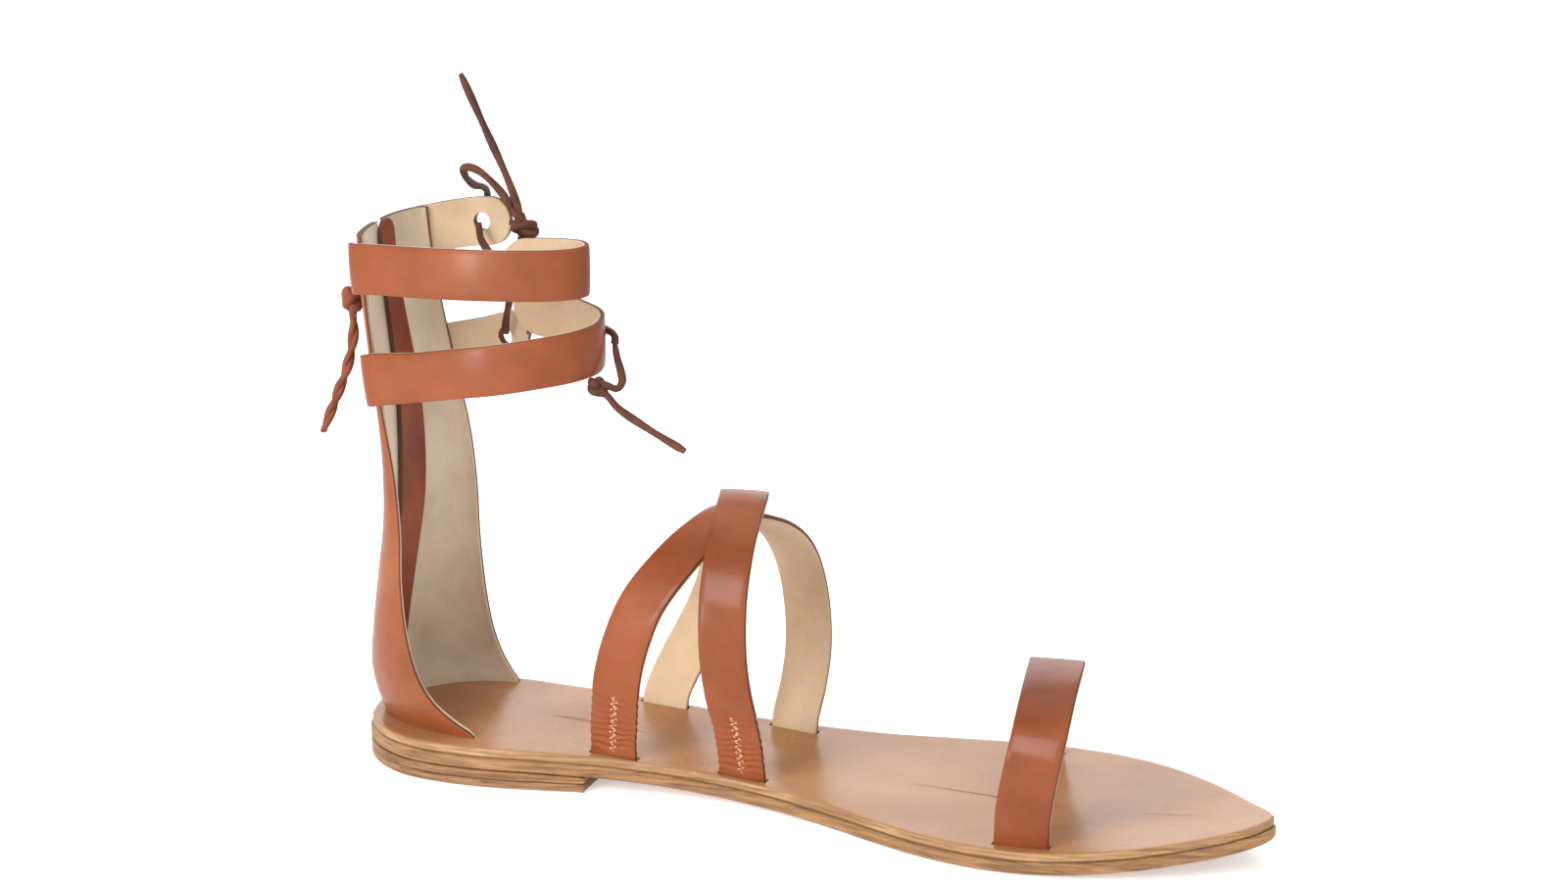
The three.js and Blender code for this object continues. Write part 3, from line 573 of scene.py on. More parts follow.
def stacked_edge(name, light, base, dark, roughness=0.55):
    """The cut side of thick sole leather: long fine fibres that run with the sole."""
    s = Shader(name, roughness, Coat_Weight=0.08, Coat_Roughness=0.35)
    streak = s.noise((62, 62, 1150), 7, 0.7, distortion=0.5)
    tone = s.ramp(streak, [(0.34, dark), (0.49, base), (0.64, light)])
    blot = s.noise((60, 60, 260), 4, 0.6)
    tone = s.mix(s.range(blot, 0.45, 0.72, 0.0, 0.55), tone, dark)
    s.colour(tone)
    s.rough(s.range(streak, 0.3, 0.7, roughness + 0.12, roughness - 0.06))
    s.bump(streak, 0.35, 0.0008)
    return s.material


INSOLE = insole_leather()
INSOLE_EDGE = stacked_edge("insole_edge", rgb(184, 148, 106), rgb(156, 119, 79), rgb(116, 80, 46), 0.5)
OUTSOLE_EDGE = stacked_edge("outsole_edge", rgb(170, 128, 84), rgb(140, 100, 61), rgb(92, 60, 32))
LIFT_EDGE = stacked_edge("lift_edge", rgb(166, 122, 80), rgb(136, 96, 58), rgb(88, 56, 30))
# Painted shade for the sole's seams: a brown sheet, a little darker than the edges, set back in the gaps
# between the layers where only shade falls.
SEAM_SHADE = raw_hide("seam_shadow", rgb(150, 110, 72), rgb(130, 92, 58), rgb(104, 70, 42), 0.8, 500, 0.0)


def lace_leather(name, light, base, dark):
    s = Shader(name, 0.62, Specular_IOR_Level=0.3)
    tone = s.ramp(s.noise(160, 5), [(0.3, dark), (0.5, base), (0.72, light)])
    s.colour(tone)
    s.bump(s.noise((900, 900, 900), 6, 0.7), 0.3, 0.0005)
    return s.material


def metal(name, colour, roughness):
    s = Shader(name, roughness, Metallic=1.0)
    s.colour(s.mix(s.range(s.noise(220, 4), 0.35, 0.7, 0.0, 0.35), colour,
                   tuple(c * 0.7 for c in colour[:3]) + (1.0,)))
    s.rough(s.range(s.noise(900, 5), 0.3, 0.7, roughness - 0.06, roughness + 0.12))
    s.bump(s.noise((1400, 1400, 300), 4), 0.08, 0.0003)
    return s.material


def woven_tape():
    s = Shader("zip_tape", 0.9, Sheen_Weight=0.3)
    wave = s.tree.nodes.new("ShaderNodeTexWave")
    wave.wave_type, wave.bands_direction = "BANDS", "Z"
    wave.inputs["Scale"].default_value = 1.0
    s.link(s.mapped((900, 900, 520)), wave.inputs["Vector"])
    weave = wave.outputs["Fac"]
    s.colour(s.ramp(weave, [(0.2, rgb(92, 54, 36)), (0.8, rgb(146, 96, 68))]))
    s.bump(weave, 0.5, 0.0005)
    return s.material


def thread(name, colour):
    s = Shader(name, 0.7, Sheen_Weight=0.2)
    s.colour(s.mix(s.range(s.noise(1800, 3), 0.3, 0.7, 0.0, 0.4), colour,
                   tuple(c * 0.62 for c in colour[:3]) + (1.0,)))
    s.bump(s.noise((2600, 2600, 900), 3), 0.4, 0.0002)
    return s.material


LACE_LEATHER = lace_leather("lace_leather", rgb(106, 60, 40), rgb(80, 43, 28), rgb(58, 29, 18))
THONG_LEATHER = lace_leather("thong_leather", rgb(142, 78, 48), rgb(118, 60, 34), rgb(88, 42, 24))
SLIDER_METAL = metal("slider_metal", rgb(226, 204, 186), 0.3)
TEETH_METAL = metal("teeth_metal", rgb(196, 160, 112), 0.34)
ZIP_TAPE = woven_tape()
PALE_THREAD = thread("pale_thread", rgb(208, 156, 122))
TAN_THREAD = thread("tan_thread", rgb(176, 104, 66))

# ---------------------------------------------------------------------------
# Camera: a long lens to the inner side of the foot, a little above it
# ---------------------------------------------------------------------------
AZIMUTH, ELEVATION = math.radians(20), math.radians(16.5)
CAMERA_PLACE = (0.4791, -1.0813, 0.4344)
SENSOR_WIDTH, FOCAL_LENGTH = 36, 108.3
BACK = Vector((math.sin(AZIMUTH) * math.cos(ELEVATION), -math.cos(AZIMUTH) * math.cos(ELEVATION),
               math.sin(ELEVATION)))
RIGHT = Vector((math.cos(AZIMUTH), math.sin(AZIMUTH), 0))
camera_data = bpy.data.cameras.new("camera")
camera_data.sensor_width = SENSOR_WIDTH
camera_data.lens = FOCAL_LENGTH
camera_data.clip_start, camera_data.clip_end = 0.05, 30
camera = add_object("camera", camera_data)
bpy.context.scene.camera = camera
turned = Matrix((RIGHT, BACK.cross(RIGHT), BACK)).transposed().to_4x4()
camera.matrix_world = Matrix.Translation(CAMERA_PLACE) @ turned

# ---------------------------------------------------------------------------
# Laces and the zip's pull
# ---------------------------------------------------------------------------
LACE_SHAPE = {"squash": 0.82, "twist": 0.22}
CORD_SIDES = 12


def overhand(name, centre, size, radius, axis, stubs, node, leather=LACE_LEATHER):
    """A knot pulled tight: a closed trefoil of cord filling size, with stubs to its cords."""
    centre = np.array(centre, float)
    turn = Vector(axis).to_track_quat("Z", "Y").to_matrix()
    points = []
    for a in np.linspace(0, 4 * math.pi, 97):
        r = 1 + 0.5 * math.cos(1.5 * a)
        points.append(turn @ Vector((r * math.cos(a), r * math.sin(a), 0.9 * math.sin(1.5 * a))))
    points = np.array(points)
    points *= (np.array(size) / 2 - radius) / np.abs(points).max(axis=0)
    rings = tube_rings(points + centre, radius, sides=CORD_SIDES)[:-1]
    verts = [p for ring in rings for p in ring]
    faces = ring_faces(len(rings), CORD_SIDES)
    # The last ring joins the first at the corner that the frame's drift brings nearest.
    drift = min(range(CORD_SIDES),
                key=lambda k: np.linalg.norm(np.roll(rings[0], -k, axis=0) - rings[-1]))
    last = (len(rings) - 1) * CORD_SIDES
    for j in range(CORD_SIDES):
        k = (j + 1) % CORD_SIDES
        faces.append((last + j, last + k, (j + 1 + drift) % CORD_SIDES, (j + drift) % CORD_SIDES))
    core = bmesh.new()
    bmesh.ops.create_icosphere(core, subdivisions=3, radius=1.0)
    base = len(verts)
    verts += [np.array(v.co) * np.array(size) * 0.34 + centre for v in core.verts]
    faces += [tuple(base + v.index for v in f.verts) for f in core.faces]
    core.free()
    for stub in stubs:
        stub_path = catmull([centre, (centre + stub) / 2, stub], 8)
        stub_rings = tube_rings(stub_path, LACE / 2, sides=CORD_SIDES)
        base = len(verts)
        verts += [p for ring in stub_rings for p in ring]
        faces += ring_faces(len(stub_rings), CORD_SIDES, base)
        faces.append(end_faces(len(stub_rings), CORD_SIDES, base)[1])
    knot = make_mesh(name, verts, faces, [leather], sharp=60)
    return piece(knot, node, slot="lace_leather")


def twisted(name, path, radius, material, pitch=15.0):
    """A thong of two round strands laid together, as wide as one cord of this radius."""
    path = np.array(path, float)
    t = tangents(path)
    normal = unit(np.cross(t[0], [0.31, 0.87, 0.38]))
    along = distances(path)
    strands = ([], [])
    for i, c in enumerate(path):
        normal = unit(normal - t[i] * normal.dot(t[i]))
        turn = along[i] * 2 * math.pi / pitch
        lean = normal * math.cos(turn) + np.cross(t[i], normal) * math.sin(turn)
        near = 1 - 0.45 * smoothstep(along[i], along[-1] - 9, along[-1])
        strands[0].append(c + lean * radius * 0.4 * near)
        strands[1].append(c - lean * radius * 0.4 * near)
    verts, faces = [], []
    for strand in strands:
        base = len(verts)
        rings = tube_rings(strand, radius * 0.6, sides=CORD_SIDES, ends=0.7)
        verts += [p for ring in rings for p in ring]
        faces += ring_faces(len(rings), CORD_SIDES, base) + end_faces(len(rings), CORD_SIDES, base)
    return make_mesh(name, verts, faces, [material], sharp=60)


def free_cord(name, points, diameter, nodes, far_end, lay, knots=(), leather=LACE_LEATHER,
              **shape):
    """A cord: one lace where its shape is given, and a twisted thong where it isn't."""
    path = catmull(points, 72)
    if shape:
        obj = tube(name, path, diameter / 2, leather, ends=0.72, **shape)
    else:
        obj = twisted(name, catmull(points, 110), diameter / 2, leather)
    piece(obj, *nodes, slot="lace_leather")
    return obj


top_knot = overhand("top_knot", TOP_KNOT, (7.6, 5.6, 5.6), 1.2, (0.35, 0.5, 0.8),
                    [TOP_END[0], TOP_LOOP[0], CROSSING_ONE[0]], "lace_top_knot")
bottom_knot = overhand("bottom_knot", BOTTOM_KNOT, (5.4, 4.8, 5.0), 1.1, (0.7, -0.3, 0.6),
                       [BOTTOM_END[0], BOTTOM_LOOP[0]], "lace_bottom_knot")
pull_knot = overhand("thong_knot", PULL_KNOT, (6.2, 5.6, 7.4), 1.4, (0.1, 0.3, 1.0),
                     [PULL_THONG[0]], "pull_knot", THONG_LEATHER)
free_cord("top_lace_end", TOP_END, LACE, ["lace_top_end"], "bare", "loose", [top_knot],
          **LACE_SHAPE)
free_cord("top_lace_loop", TOP_LOOP, LACE, ["lace_top_loop"], "object", "loose", **LACE_SHAPE)
# The lower lace comes round the strap's fold, loops into its knot and leaves it again.
BOTTOM_LACE = BOTTOM_LOOP[::-1] + TURN_IN_KNOT + BOTTOM_END
free_cord("bottom_lace", BOTTOM_LACE, LACE, ["lace_bottom_loop", "lace_bottom_end"], "bare",
          "loose", [bottom_knot], **LACE_SHAPE)
free_cord("pull_thong_cord", PULL_THONG, THONG, ["pull_thong"], "bare", "hanging", [pull_knot],
          THONG_LEATHER)

strand_one = tube("lace_strand_one", catmull(CROSSING_ONE, 60), LACE / 2, LACE_LEATHER, **LACE_SHAPE)
# The second strand runs on round the strap's fold to where the lower lace starts.
STRAND_TWO = CROSSING_TWO + [(41.3, -4.5, 117.9), BOTTOM_LOOP[-1]]
strand_two = tube("lace_strand_two", catmull(STRAND_TWO, 110), LACE / 2, LACE_LEATHER, **LACE_SHAPE)
piece(strand_one, "lace_crossing", slot="lace_leather")
piece(strand_two, slot="lace_leather")

# ---------------------------------------------------------------------------
# Sole
# ---------------------------------------------------------------------------
OUTLINE_POINTS = 420


def loop_of_sole(to_x=None):
    """The sole's outline as one closed loop, evenly spaced, counter-clockwise from above."""
    inner, outer = (catmull([(row[0], row[k], 0) for row in SOLE_OUTLINE], 400) for k in (1, 2))
    front = []
    if to_x is not None:
        ends = [column(SOLE_OUTLINE, k)(to_x) for k in (1, 2)]
        inner = np.vstack([inner[inner[:, 0] < to_x], [(to_x, ends[0], 0)]])
        outer = np.vstack([outer[outer[:, 0] < to_x], [(to_x, ends[1], 0)]])
        front = [(to_x, y, 0) for y in np.linspace(ends[0], ends[1], 30)[1:-1]]
    heel = [(inner[0][0], y, 0) for y in np.linspace(outer[0][1], inner[0][1], 5)[1:-1]]
    ring = np.vstack([inner] + ([front] if front else []) + [outer[::-1], heel])
    ring = np.vstack([ring, ring[:1]])
    along = distances(ring)
    at = np.linspace(0, along[-1], OUTLINE_POINTS, endpoint=False)
    if to_x is not None:
        corners = [along[len(inner) - 1], along[len(inner) + len(front)]]
        at = np.sort(np.concatenate([at, corners]))
    return np.stack([np.interp(at, along, ring[:, k]) for k in range(2)], axis=1)


def inset_loop(loop, distance):
    before, after = np.roll(loop, 1, axis=0), np.roll(loop, -1, axis=0)
    t = after - before
    t /= np.maximum(np.linalg.norm(t, axis=1, keepdims=True), 1e-9)
    return loop + np.stack([-t[:, 1], t[:, 0]], axis=1) * distance


def sheet_of_sole(name, bottom_z, top_z, inset, radius, materials, to_x=None):
    """A layer of the sole with rounded edges. Materials: top, side, underside."""
    base = inset_loop(loop_of_sole(to_x), inset)
    quarter = np.linspace(0, math.pi / 2, 5)
    bend = [(radius * (1 - math.sin(a)), radius * (1 - math.cos(a))) for a in quarter]
    rings = [(radius * 3, "low", 0.0)] + [(d, "low", h) for d, h in bend]
    rings += [(0.0, "mid", 0.33), (0.0, "mid", 0.66)]
    rings += [(d, "high", h) for d, h in reversed(bend)] + [(radius * 3, "high", 0.0)]
    n = len(base)
    points, slots = [], []
    for d, where, h in rings:
        for x, y in inset_loop(base, d):
            low, high = bottom_z(x), top_z(x)
            z = {"low": low + h, "high": high - h, "mid": low + (high - low) * h}[where]
            points.append((x, y, z))
    faces = ring_faces(len(rings), n)
    for i in range(len(rings) - 1):
        slots += [0 if i > len(rings) - 5 else (2 if i < 2 else 1)] * n
    fill_sheet(points, faces, slots, (len(rings) - 1) * n, n, top_z, 0)
    fill_sheet(points, faces, slots, 0, n, bottom_z, 2)
    return make_mesh(name, points, faces, materials, slots, sharp=50)


def fill_sheet(points, faces, slots, first, n, height, slot):
    """Closes a ring of the sole with rows of a grid, so that the sheet can curve."""
    ring = np.array(points[first:first + n])
    previous = list(range(first, first + n))
    near = [ring[np.abs(ring[:, 0] - x) < 4, 1] for x in ring[:, 0]]
    middle_y = [(ys.min() + ys.max()) / 2 for ys in near]
    spine_x = np.clip(ring[:, 0], ring[:, 0].min() + 14, ring[:, 0].max() - 16)
    for share in (0.12, 0.3, 0.5, 0.7, 0.88):
        row = []
        for j in range(n):
            x = ring[j, 0] * (1 - share) + spine_x[j] * share
            y = ring[j, 1] * (1 - share) + middle_y[j] * share
            row.append(len(points))
            points.append((x, y, height(x)))
        for j in range(n):
            k = (j + 1) % n
            faces.append((previous[j], previous[k], row[k], row[j]))
            slots.append(slot)
        previous = row
    faces.append(tuple(previous))
    slots.append(slot)


INSOLE_INSET = 0.5
SLOT_PLAY = 0.9
SLOT_DEPTH = 20
insole = sheet_of_sole("insole_piece", insole_bottom_z, insole_top_z, INSOLE_INSET, 0.6,
                       [INSOLE, INSOLE_EDGE, INSOLE_EDGE])
slots_cut = []
for route, width in ((CROSS_A, CROSS_WIDTH), (CROSS_B, CROSS_WIDTH), (TOE, TOE_WIDTH)):
    for x, y, z in (route[0], route[-1]):
        bm = bmesh.new()
        bmesh.ops.create_cube(bm, size=1.0)
        slot = add_cutter("slot", bm, (x, y - math.copysign(STRAP / 2, y), z))
        slot.scale = Vector((width + SLOT_PLAY, STRAP + SLOT_PLAY, SLOT_DEPTH)) * MM
        slots_cut.append(slot)
cut(insole, slots_cut)
piece(insole, "insole", slot="insole_leather")

outsole = sheet_of_sole("outsole_piece", underside_z, lambda x: underside_z(x) + OUTSOLE_THICKNESS,
                        0.0, 0.5, [INSOLE_EDGE, OUTSOLE_EDGE, OUTSOLE_EDGE])
piece(outsole, "outsole", slot="sole_edge")
LIFT_LAYERS = 2
layer_height = (LIFT_HEIGHT - GAP * (LIFT_LAYERS - 1) * 0.5) / LIFT_LAYERS
for k in range(LIFT_LAYERS):
    low = k * (layer_height + GAP * 0.5)
    layer = sheet_of_sole(f"heel_lift_layer_{k}", lambda x, low=low: low,
                          lambda x, low=low, k=k: (low + layer_height if k < LIFT_LAYERS - 1
                                                   else underside_z(x) - GAP),
                          0.1 * (LIFT_LAYERS - 1 - k), 0.3, [LIFT_EDGE] * 3, to_x=BREAST_X)
    piece(layer, *(["heel_lift"] if k == 0 else []), slot="sole_edge")
# A sheet set back across the gap between outsole and insole. Its colour is painted shade for the seam, and it
# also stops the gap showing through.
seam = sheet_of_sole("sole_seam", lambda x: underside_z(x) + OUTSOLE_THICKNESS - 0.4,
                     lambda x: insole_bottom_z(x) + 0.4, 1.0, 0.1, [SEAM_SHADE] * 3)
piece(seam, slot="sole_edge")
# The same painted-shade sheet, set back across the heel's gaps between the lift layers and under the outsole.
heel_seam = sheet_of_sole("heel_seam", lambda x: layer_height - 0.5,
                          lambda x: underside_z(x) + 0.3, 0.9, 0.1, [SEAM_SHADE] * 3,
                          to_x=BREAST_X - 1)
piece(heel_seam, slot="sole_edge")

# ---------------------------------------------------------------------------
# Straps over the foot
# ---------------------------------------------------------------------------
LINING_THICKNESS = 0.65
STRAP_MATERIALS = [STRAP_OUTER, CUT_EDGE, LINING_EDGE, LINING]
CROWN = 0.22
PUCKER, PUCKER_PITCH = 0.26, 2.2
CHANNEL_DEPTH, CHANNEL_HALF_WIDTH = 0.4, 1.5
STITCH_ROW_END, STITCH_ROW_HALF_WIDTH = 21.0, 0.95


def strap_frames(route, inside, count):
    """Centre line, direction across and direction out, with upright feet."""
    path = catmull(route, count)
    t = tangents(path)
    outs, acrosses = [], []
    for i, p in enumerate(path):
        share = i / (count - 1)
        rest = smoothstep(min(share, 1 - share), 0.0, 0.075)
        along = unit(t[i] * rest + np.array([0, 0, math.copysign(1, t[i][2])]) * (1 - rest))
        out = np.array([0, p[1] - inside[0], (p[2] - inside[1]) * rest])
        out = unit(out - along * out.dot(along))
        outs.append(out)
        acrosses.append(unit(np.cross(out, along)))
    return path, np.array(acrosses), np.array(outs)


def foot_strap(name, route, width, inside, gathered=False, lift=None):
    count = 460 if gathered else 150
    path, across, out = strap_frames(route, inside, count)
    along = distances(path)
    ring_shape = section(width, STRAP, LINING_THICKNESS)
    rings, uvs = [], []
    for i, (p, s) in enumerate(zip(path, along)):
        ring = []
        puckered = smoothstep(s, 1.5, 4.0) * (1 - smoothstep(s, 19.0, 22.5)) if gathered else 0.0
        for u, d, _ in ring_shape:
            rim = 1 - abs(u) / (width / 2)
            wave = math.sin(s * 2 * math.pi / PUCKER_PITCH + 1.5 * math.sin(u * 0.8 + 0.35 * s))
            pucker = puckered * PUCKER * wave * (0.4 + 0.6 * min(1.0, rim * 2))
            channel = -CHANNEL_DEPTH * puckered * math.exp(-(u / CHANNEL_HALF_WIDTH) ** 2)
            crown = CROWN * (1 - (u / (width / 2)) ** 2) * (d > STRAP / 2)
            wide = u * (1 - puckered * (0.02 + 0.02 * math.sin(s * 2 * math.pi / 2.7)))
            ring.append(p + across[i] * wide + out[i] * (d - STRAP + pucker + channel + crown))
            uvs.append((s * MM, u * MM))
        rings.append(ring)
    obj = swept(name, rings, [m for _, _, m in ring_shape], STRAP_MATERIALS, uvs)
    return obj, path, across, out, along


INSIDE_INSTEP = (2.0, 34.0)
cross_a, a_path, a_across, a_out, a_along = foot_strap(
    "instep_strap_rear", CROSS_A, CROSS_WIDTH, INSIDE_INSTEP, gathered=True)
cross_b, b_path, b_across, b_out, b_along = foot_strap(
    "instep_strap_front", CROSS_B, CROSS_WIDTH, INSIDE_INSTEP, gathered=True)
toe, *_ = foot_strap("toe_strap_piece", TOE, TOE_WIDTH, (-1.0, 14.0))
piece(cross_a, "instep_cross", slot="strap_leather")
piece(cross_b, slot="strap_leather")
piece(toe, "toe_strap", slot="strap_leather")

for label, path, across, out, along in (("rear", a_path, a_across, a_out, a_along),
                                        ("front", b_path, b_across, b_out, b_along)):
    zigzag, normals = [], []
    s, flip = 1.0, 1
    while s < STITCH_ROW_END:
        c, a, n = (at_distance(s, along, rows) for rows in (path, across, out))
        zigzag.append(c + a * flip * STITCH_ROW_HALF_WIDTH - n * 0.14)
        normals.append(n)
        flip, s = -flip, s + STITCH_ROW_HALF_WIDTH
    seam_thread = thread_run(f"gather_stitches_{label}", zigzag, normals, 1.55, 1.3, 0.24, PALE_THREAD)
    piece(seam_thread, slot="strap_leather")

# ---------------------------------------------------------------------------
# Shaft: counter halves, zip, guard and ankle straps
# ---------------------------------------------------------------------------
COUNTER_BASE = insole_bottom_z(0) + 0.1
COUNTER_MATERIALS = [COUNTER_OUTER, CUT_EDGE, LINING_EDGE, SUEDE]
for side, label in ((-1, "inner"), (1, "outer")):
    rings, uvs = [], []
    ring_shape = section(2.0, COUNTER, 0.75, across=24)
    for z in np.linspace(COUNTER_BASE, COUNTER_TOP_Z, 110):
        start = turn_at(z, ZIP_HALF_GAP)
        arc = (1 - start) * math.pi / 2 * 26
        ring = []
        for u, d, _ in ring_shape:
            # The section's edges keep their size; its faces stretch round the heel.
            edge = 1.0 - abs(u)
            span = arc / 2
            across_mm = math.copysign(span - edge if edge < 0.4 else
                                      (span - 0.4) * (abs(u) / 0.6), u)
            turn = start + (across_mm / arc + 0.5) * (1 - start)
            ring.append(off_counter(z, min(turn, 1.0), side, d - COUNTER))
            uvs.append((z * MM, across_mm * MM))
        rings.append(ring)
    wall = swept(f"counter_{label}_piece", rings, [m for _, _, m in ring_shape],
                 COUNTER_MATERIALS, uvs)
    piece(wall, f"counter_{label}", slot="strap_leather")
    line, normals = [], []
    for z in np.linspace(13, 139, 160):
        turn = turn_at(z, ZIP_HALF_GAP + 2.0)
        line.append(off_counter(z, turn, side, 0.03))
        normals.append(off_counter(z, turn, side, 1.0) - off_counter(z, turn, side, 0.0))
    piece(thread_run(f"zip_stitches_{label}", line, normals, 2.7, 2.0, 0.2, TAN_THREAD),
          slot="strap_leather")


TAPER_LOW_Z, TAPER_HIGH_Z = 70, 134


def back_strip(name, half_width, low, high, bottom, top, materials, round_top=0.0, lining=0.5,
               half_at_top=None):
    """A strip down the centre back, low to high from the counter's face, round and narrow on top."""
    shape = section(2 * half_width, high - low, lining, across=8)
    rings, uvs = [], []
    count = 90
    for i in range(count):
        z = top - (top - bottom) * (1 - i / (count - 1)) ** (1.8 if round_top else 1.0)
        from_top = max(0.0, round_top - (top - z))
        arc = math.sqrt(max(round_top**2 - from_top**2, 0.3))
        half = half_width
        if half_at_top:
            half += (half_at_top - half_width) * smoothstep(z, TAPER_LOW_Z, TAPER_HIGH_Z)
        wide = (half - round_top + arc) / half_width if round_top else half / half_width
        ring = []
        for u, d, _ in shape:
            y = u * wide
            ring.append(off_counter(z, turn_at(z, abs(y)), 1 if y >= 0 else -1, low + d))
            uvs.append((z * MM, y * MM))
        rings.append(ring)
    return swept(name, rings, [m for _, _, m in shape], materials, uvs)


guard = back_strip("zip_guard_piece", 8.0, -COUNTER - 1.5, -COUNTER - GAP,
                   COUNTER_BASE + INSOLE_THICKNESS + 0.4, 142.4,
                   [LINING, CUT_EDGE, CUT_EDGE, GUARD], round_top=4.0, half_at_top=4.2)
piece(guard, "zip_guard", slot="guard_leather")
tape = back_strip("zip_tape_piece", 2.1, -1.5, -0.9, 14, 139, [ZIP_TAPE] * 4, lining=0.2)
piece(tape, "zip_chain", slot="zip_tape")

TEETH_LOW_Z, TEETH_HIGH_Z, TOOTH_PITCH = 15.0, 138.0, 0.82
teeth_points, teeth_faces = [], []
z, flip = TEETH_LOW_Z, 1
while z < TEETH_HIGH_Z:
    up = unit(counter_face(z + 0.5, 0, 1) - counter_face(z - 0.5, 0, 1))
    out = unit(np.array([-up[2], 0, up[0]]))
    centre = counter_face(z, 0, 1) + np.array([0, flip * 0.5, 0]) - out * 0.55
    base = len(teeth_points)
    for du, dv, dw in ((-1, -1, -1), (1, -1, -1), (1, 1, -1), (-1, 1, -1),
                       (-0.7, -0.75, 1), (0.7, -0.75, 1), (0.7, 0.75, 1), (-0.7, 0.75, 1)):
        teeth_points.append(centre + np.array([0, du * 0.95, 0]) + up * dv * 0.36 + out * dw * 0.45)
    for f in ((0, 3, 2, 1), (4, 5, 6, 7), (0, 1, 5, 4), (1, 2, 6, 5), (2, 3, 7, 6), (3, 0, 4, 7)):
        teeth_faces.append(tuple(base + k for k in f))
    z, flip = z + TOOTH_PITCH, -flip
teeth = make_mesh("zip_teeth", teeth_points, teeth_faces, [TEETH_METAL], sharp=30)
piece(teeth, slot="slider_metal")


def rounded_box(bm, centre, size, radius):
    made = bmesh.ops.create_cube(bm, size=1.0)["verts"]
    for v in made:
        v.co = Vector(centre) + Vector([v.co[k] * size[k] for k in range(3)])
    edges = list({e for v in made for e in v.link_edges})
    bmesh.ops.bevel(bm, geom=made + edges, offset=radius, segments=3, profile=0.6, affect="EDGES")


SLIDER_Z, SLIDER_DEPTH = 136.6, 2.3
slider_x = counter_back(SLIDER_Z) - SLIDER_DEPTH
bm = bmesh.new()
rounded_box(bm, (slider_x + 0.9, 0, SLIDER_Z), (1.3, 4.6, 9.4), 0.5)
rounded_box(bm, (slider_x - 0.7, 0, SLIDER_Z + 0.4), (1.5, 2.0, 6.4), 0.6)
rounded_box(bm, (slider_x - 1.7, 0, SLIDER_Z - 4.6), (0.9, 3.4, 7.6), 0.4)
verts = [np.array(v.co) for v in bm.verts]
bm.verts.index_update()
faces = [tuple(v.index for v in f.verts) for f in bm.faces]
bm.free()
ring_path = [(slider_x - 1.7 + 0.3 * math.sin(a), 2.0 * math.sin(a) * 0.9,
              SLIDER_Z - 10.2 + 2.4 * math.cos(a)) for a in np.linspace(0, 2 * math.pi, 40)]
RING_SIDES = 10
rings = tube_rings(ring_path, 0.55, sides=RING_SIDES)[:-1]
base = len(verts)
verts += [p for ring in rings for p in ring]
faces += ring_faces(len(rings), RING_SIDES, base)
last = base + (len(rings) - 1) * RING_SIDES
for j in range(RING_SIDES):
    k = (j + 1) % RING_SIDES
    faces.append((last + j, last + k, base + k, base + j))
slider = make_mesh("zip_slider_piece", verts, faces, [SLIDER_METAL], sharp=40)
piece(slider, "zip_slider", slot="slider_metal")


ANKLE_CROWN = 0.2


def punch_eyelet(obj, hole, way):
    """Cuts an eyelet through a strap that runs along way."""
    bm = bmesh.new()
    bmesh.ops.create_cone(bm, cap_ends=True, segments=28, radius1=EYELET / 2 * MM,
                          radius2=EYELET / 2 * MM, depth=8 * MM)
    punch = add_cutter("punch", bm, hole)
    punch.data.materials.append(CUT_EDGE)
    punch.rotation_mode = "QUATERNION"
    punch.rotation_quaternion = Vector((way[1], -way[0], 0)).to_track_quat("Z", "Y")
    cut(obj, [punch])


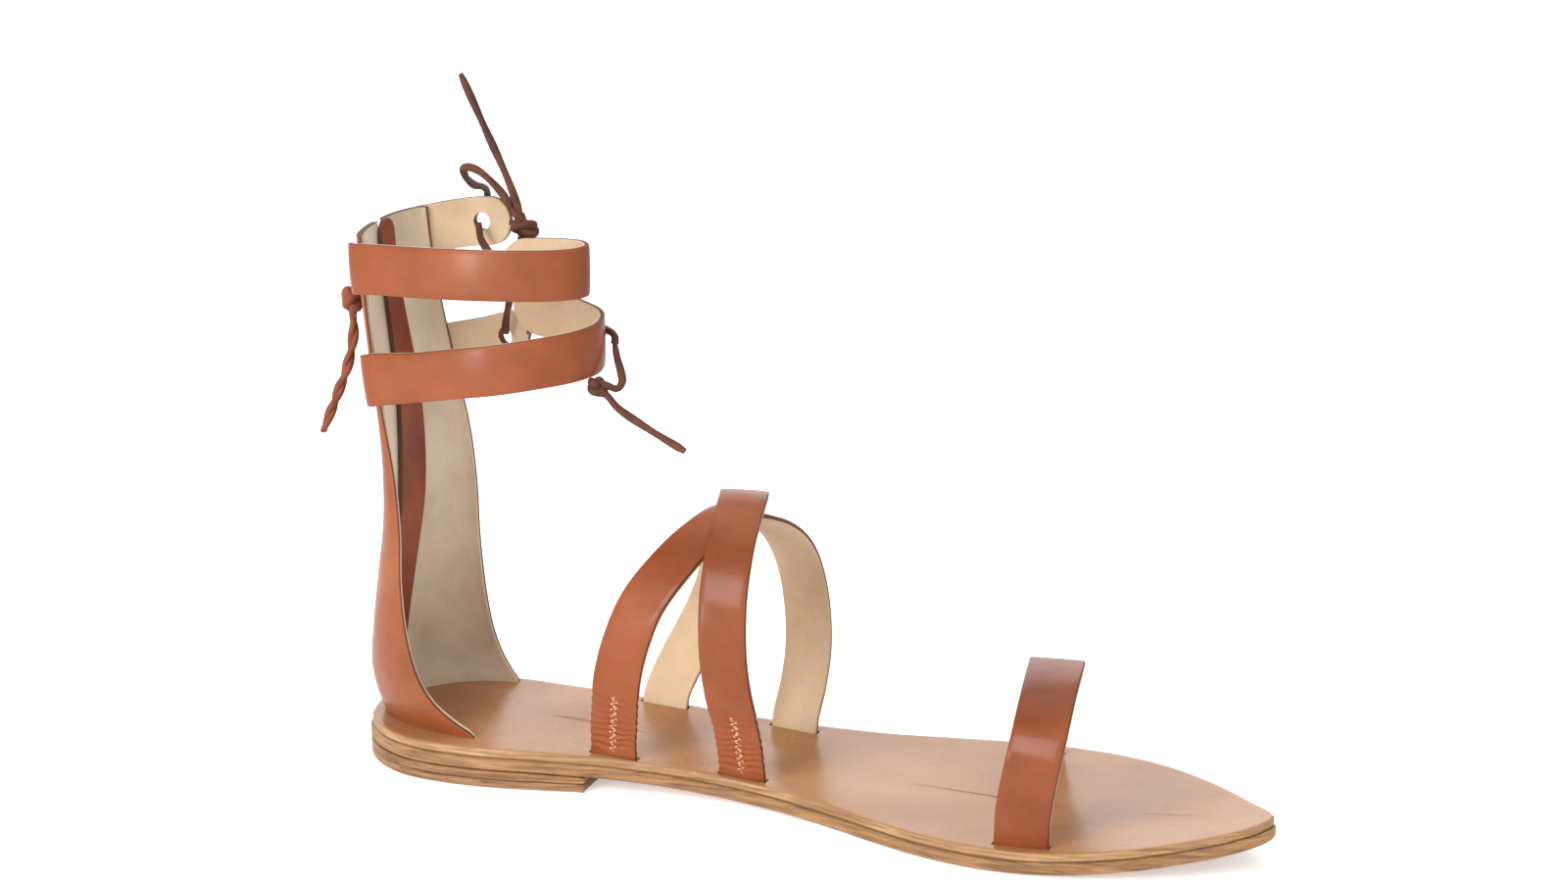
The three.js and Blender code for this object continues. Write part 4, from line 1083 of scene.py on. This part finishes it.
def ankle_strap(name, side, start, end, free, eyelet_from_end):
    """A strap that leaves the counter's face, follows its free route and ends in a round end."""
    shares = np.linspace(-1, 1, 9)
    half = ANKLE_WIDTH / 2
    sewn = [0, 0.14, 0.28, 0.42, 0.56, 0.7, 0.84, 1]
    first = STRAP_START_TURN[side]
    count = 150 if side < 0 else 80
    routes = []
    for share in shares:
        points = []
        for way in sewn:
            z = start + (end - start) * way + share * half
            points.append(off_counter(z, first + (1 - first) * way, side, GAP + 0.15))
        points += [(x, y, z + share * half) for x, y, z in free]
        routes.append(catmull(points, count))
    middle = routes[4]
    t = tangents(middle)
    total = length_of(middle)
    shape = section(ANKLE_WIDTH, STRAP, LINING_THICKNESS)
    rings, uvs = [], []
    for i in range(count):
        left = total * (1 - i / (count - 1))
        reach = math.sqrt(max(END_ROUND**2 - max(END_ROUND - left, 0) ** 2, 0.5))
        narrow = reach / END_ROUND if left < END_ROUND else 1.0
        along = unit(np.array([t[i][0], t[i][1], 0]))
        out = np.array([along[1], -along[0], 0]) * -side
        ring = []
        for u, d, _ in shape:
            share = u / half * narrow
            p = at_distance(share, shares, np.array([route[i] for route in routes]))
            crown = ANKLE_CROWN * (1 - (u / half) ** 2) * (d > STRAP / 2)
            ring.append(p + out * (d + crown))
            uvs.append((total * i / (count - 1) * MM, u * MM))
        rings.append(ring)
    obj = swept(name + "_piece", rings, [m for _, _, m in shape], STRAP_MATERIALS, uvs)
    if eyelet_from_end is not None:
        at = (1 - eyelet_from_end / total) * (count - 1)
        punch_eyelet(obj, at_distance(at, range(count), middle), at_distance(at, range(count), t))
    piece(obj, name, slot="strap_leather")


for name, facts in ANKLE_STRAPS.items():
    ankle_strap(name, *facts)

# ---------------------------------------------------------------------------
# Floor and light
# ---------------------------------------------------------------------------
floor_shader = Shader("floor", 0.75, Emission_Color=(1, 1, 1, 1), Emission_Strength=0.42)
floor_shader.colour(floor_shader.mix(floor_shader.range(floor_shader.noise(3, 2), 0.3, 0.7),
                                     rgb(246, 246, 246), rgb(243, 243, 243)))
FLOOR_REACH, FLOOR_Z = 9000, -0.15
floor_corners = [(x * FLOOR_REACH, y * FLOOR_REACH, FLOOR_Z) for x, y in ((-1, -1), (1, -1), (1, 1), (-1, 1))]
floor = make_mesh("floor", floor_corners, [(0, 1, 2, 3)], [floor_shader.material])

world = bpy.data.worlds.new("studio")
bpy.context.scene.world = world
world.use_nodes = True
sky = world.node_tree.nodes["Background"].inputs
sky["Color"].default_value = (1, 1, 1, 1)
sky["Strength"].default_value = 0.62


def soft_light(name, location, target, size, power, colour=(1, 1, 1)):
    """A rectangular lamp aimed at a point."""
    data = bpy.data.lights.new(name, "AREA")
    data.shape, data.size, data.size_y = "RECTANGLE", size[0], size[1]
    data.energy, data.color = power, colour
    light = add_object(name, data)
    light.location = location
    aim = Vector(target) - Vector(location)
    light.rotation_mode = "QUATERNION"
    light.rotation_quaternion = aim.to_track_quat("-Z", "Y")


AIM = (0.08, 0.0, 0.05)
soft_light("key", (-0.41, -1.34, 0.8), AIM, (0.62, 0.78), 19, (1.0, 0.98, 0.95))
# The side light is a narrow strip low beside the ankle, and puts the soft band on its straps.
soft_light("side", (-0.2, -0.52, 0.08), (0.012, -0.026, 0.125), (0.06, 0.14), 0.7)
soft_light("fill", (1.5, -0.9, 0.8), AIM, (1.2, 1.0), 5)
soft_light("top", (0.1, 0.3, 1.6), AIM, (1.6, 1.2), 8)
soft_light("back", (-0.55, 1.4, 0.62), AIM, (1.4, 1.1), 9)

bpy.context.scene.view_settings.view_transform = "Standard"
bpy.context.scene.view_settings.look = "None"
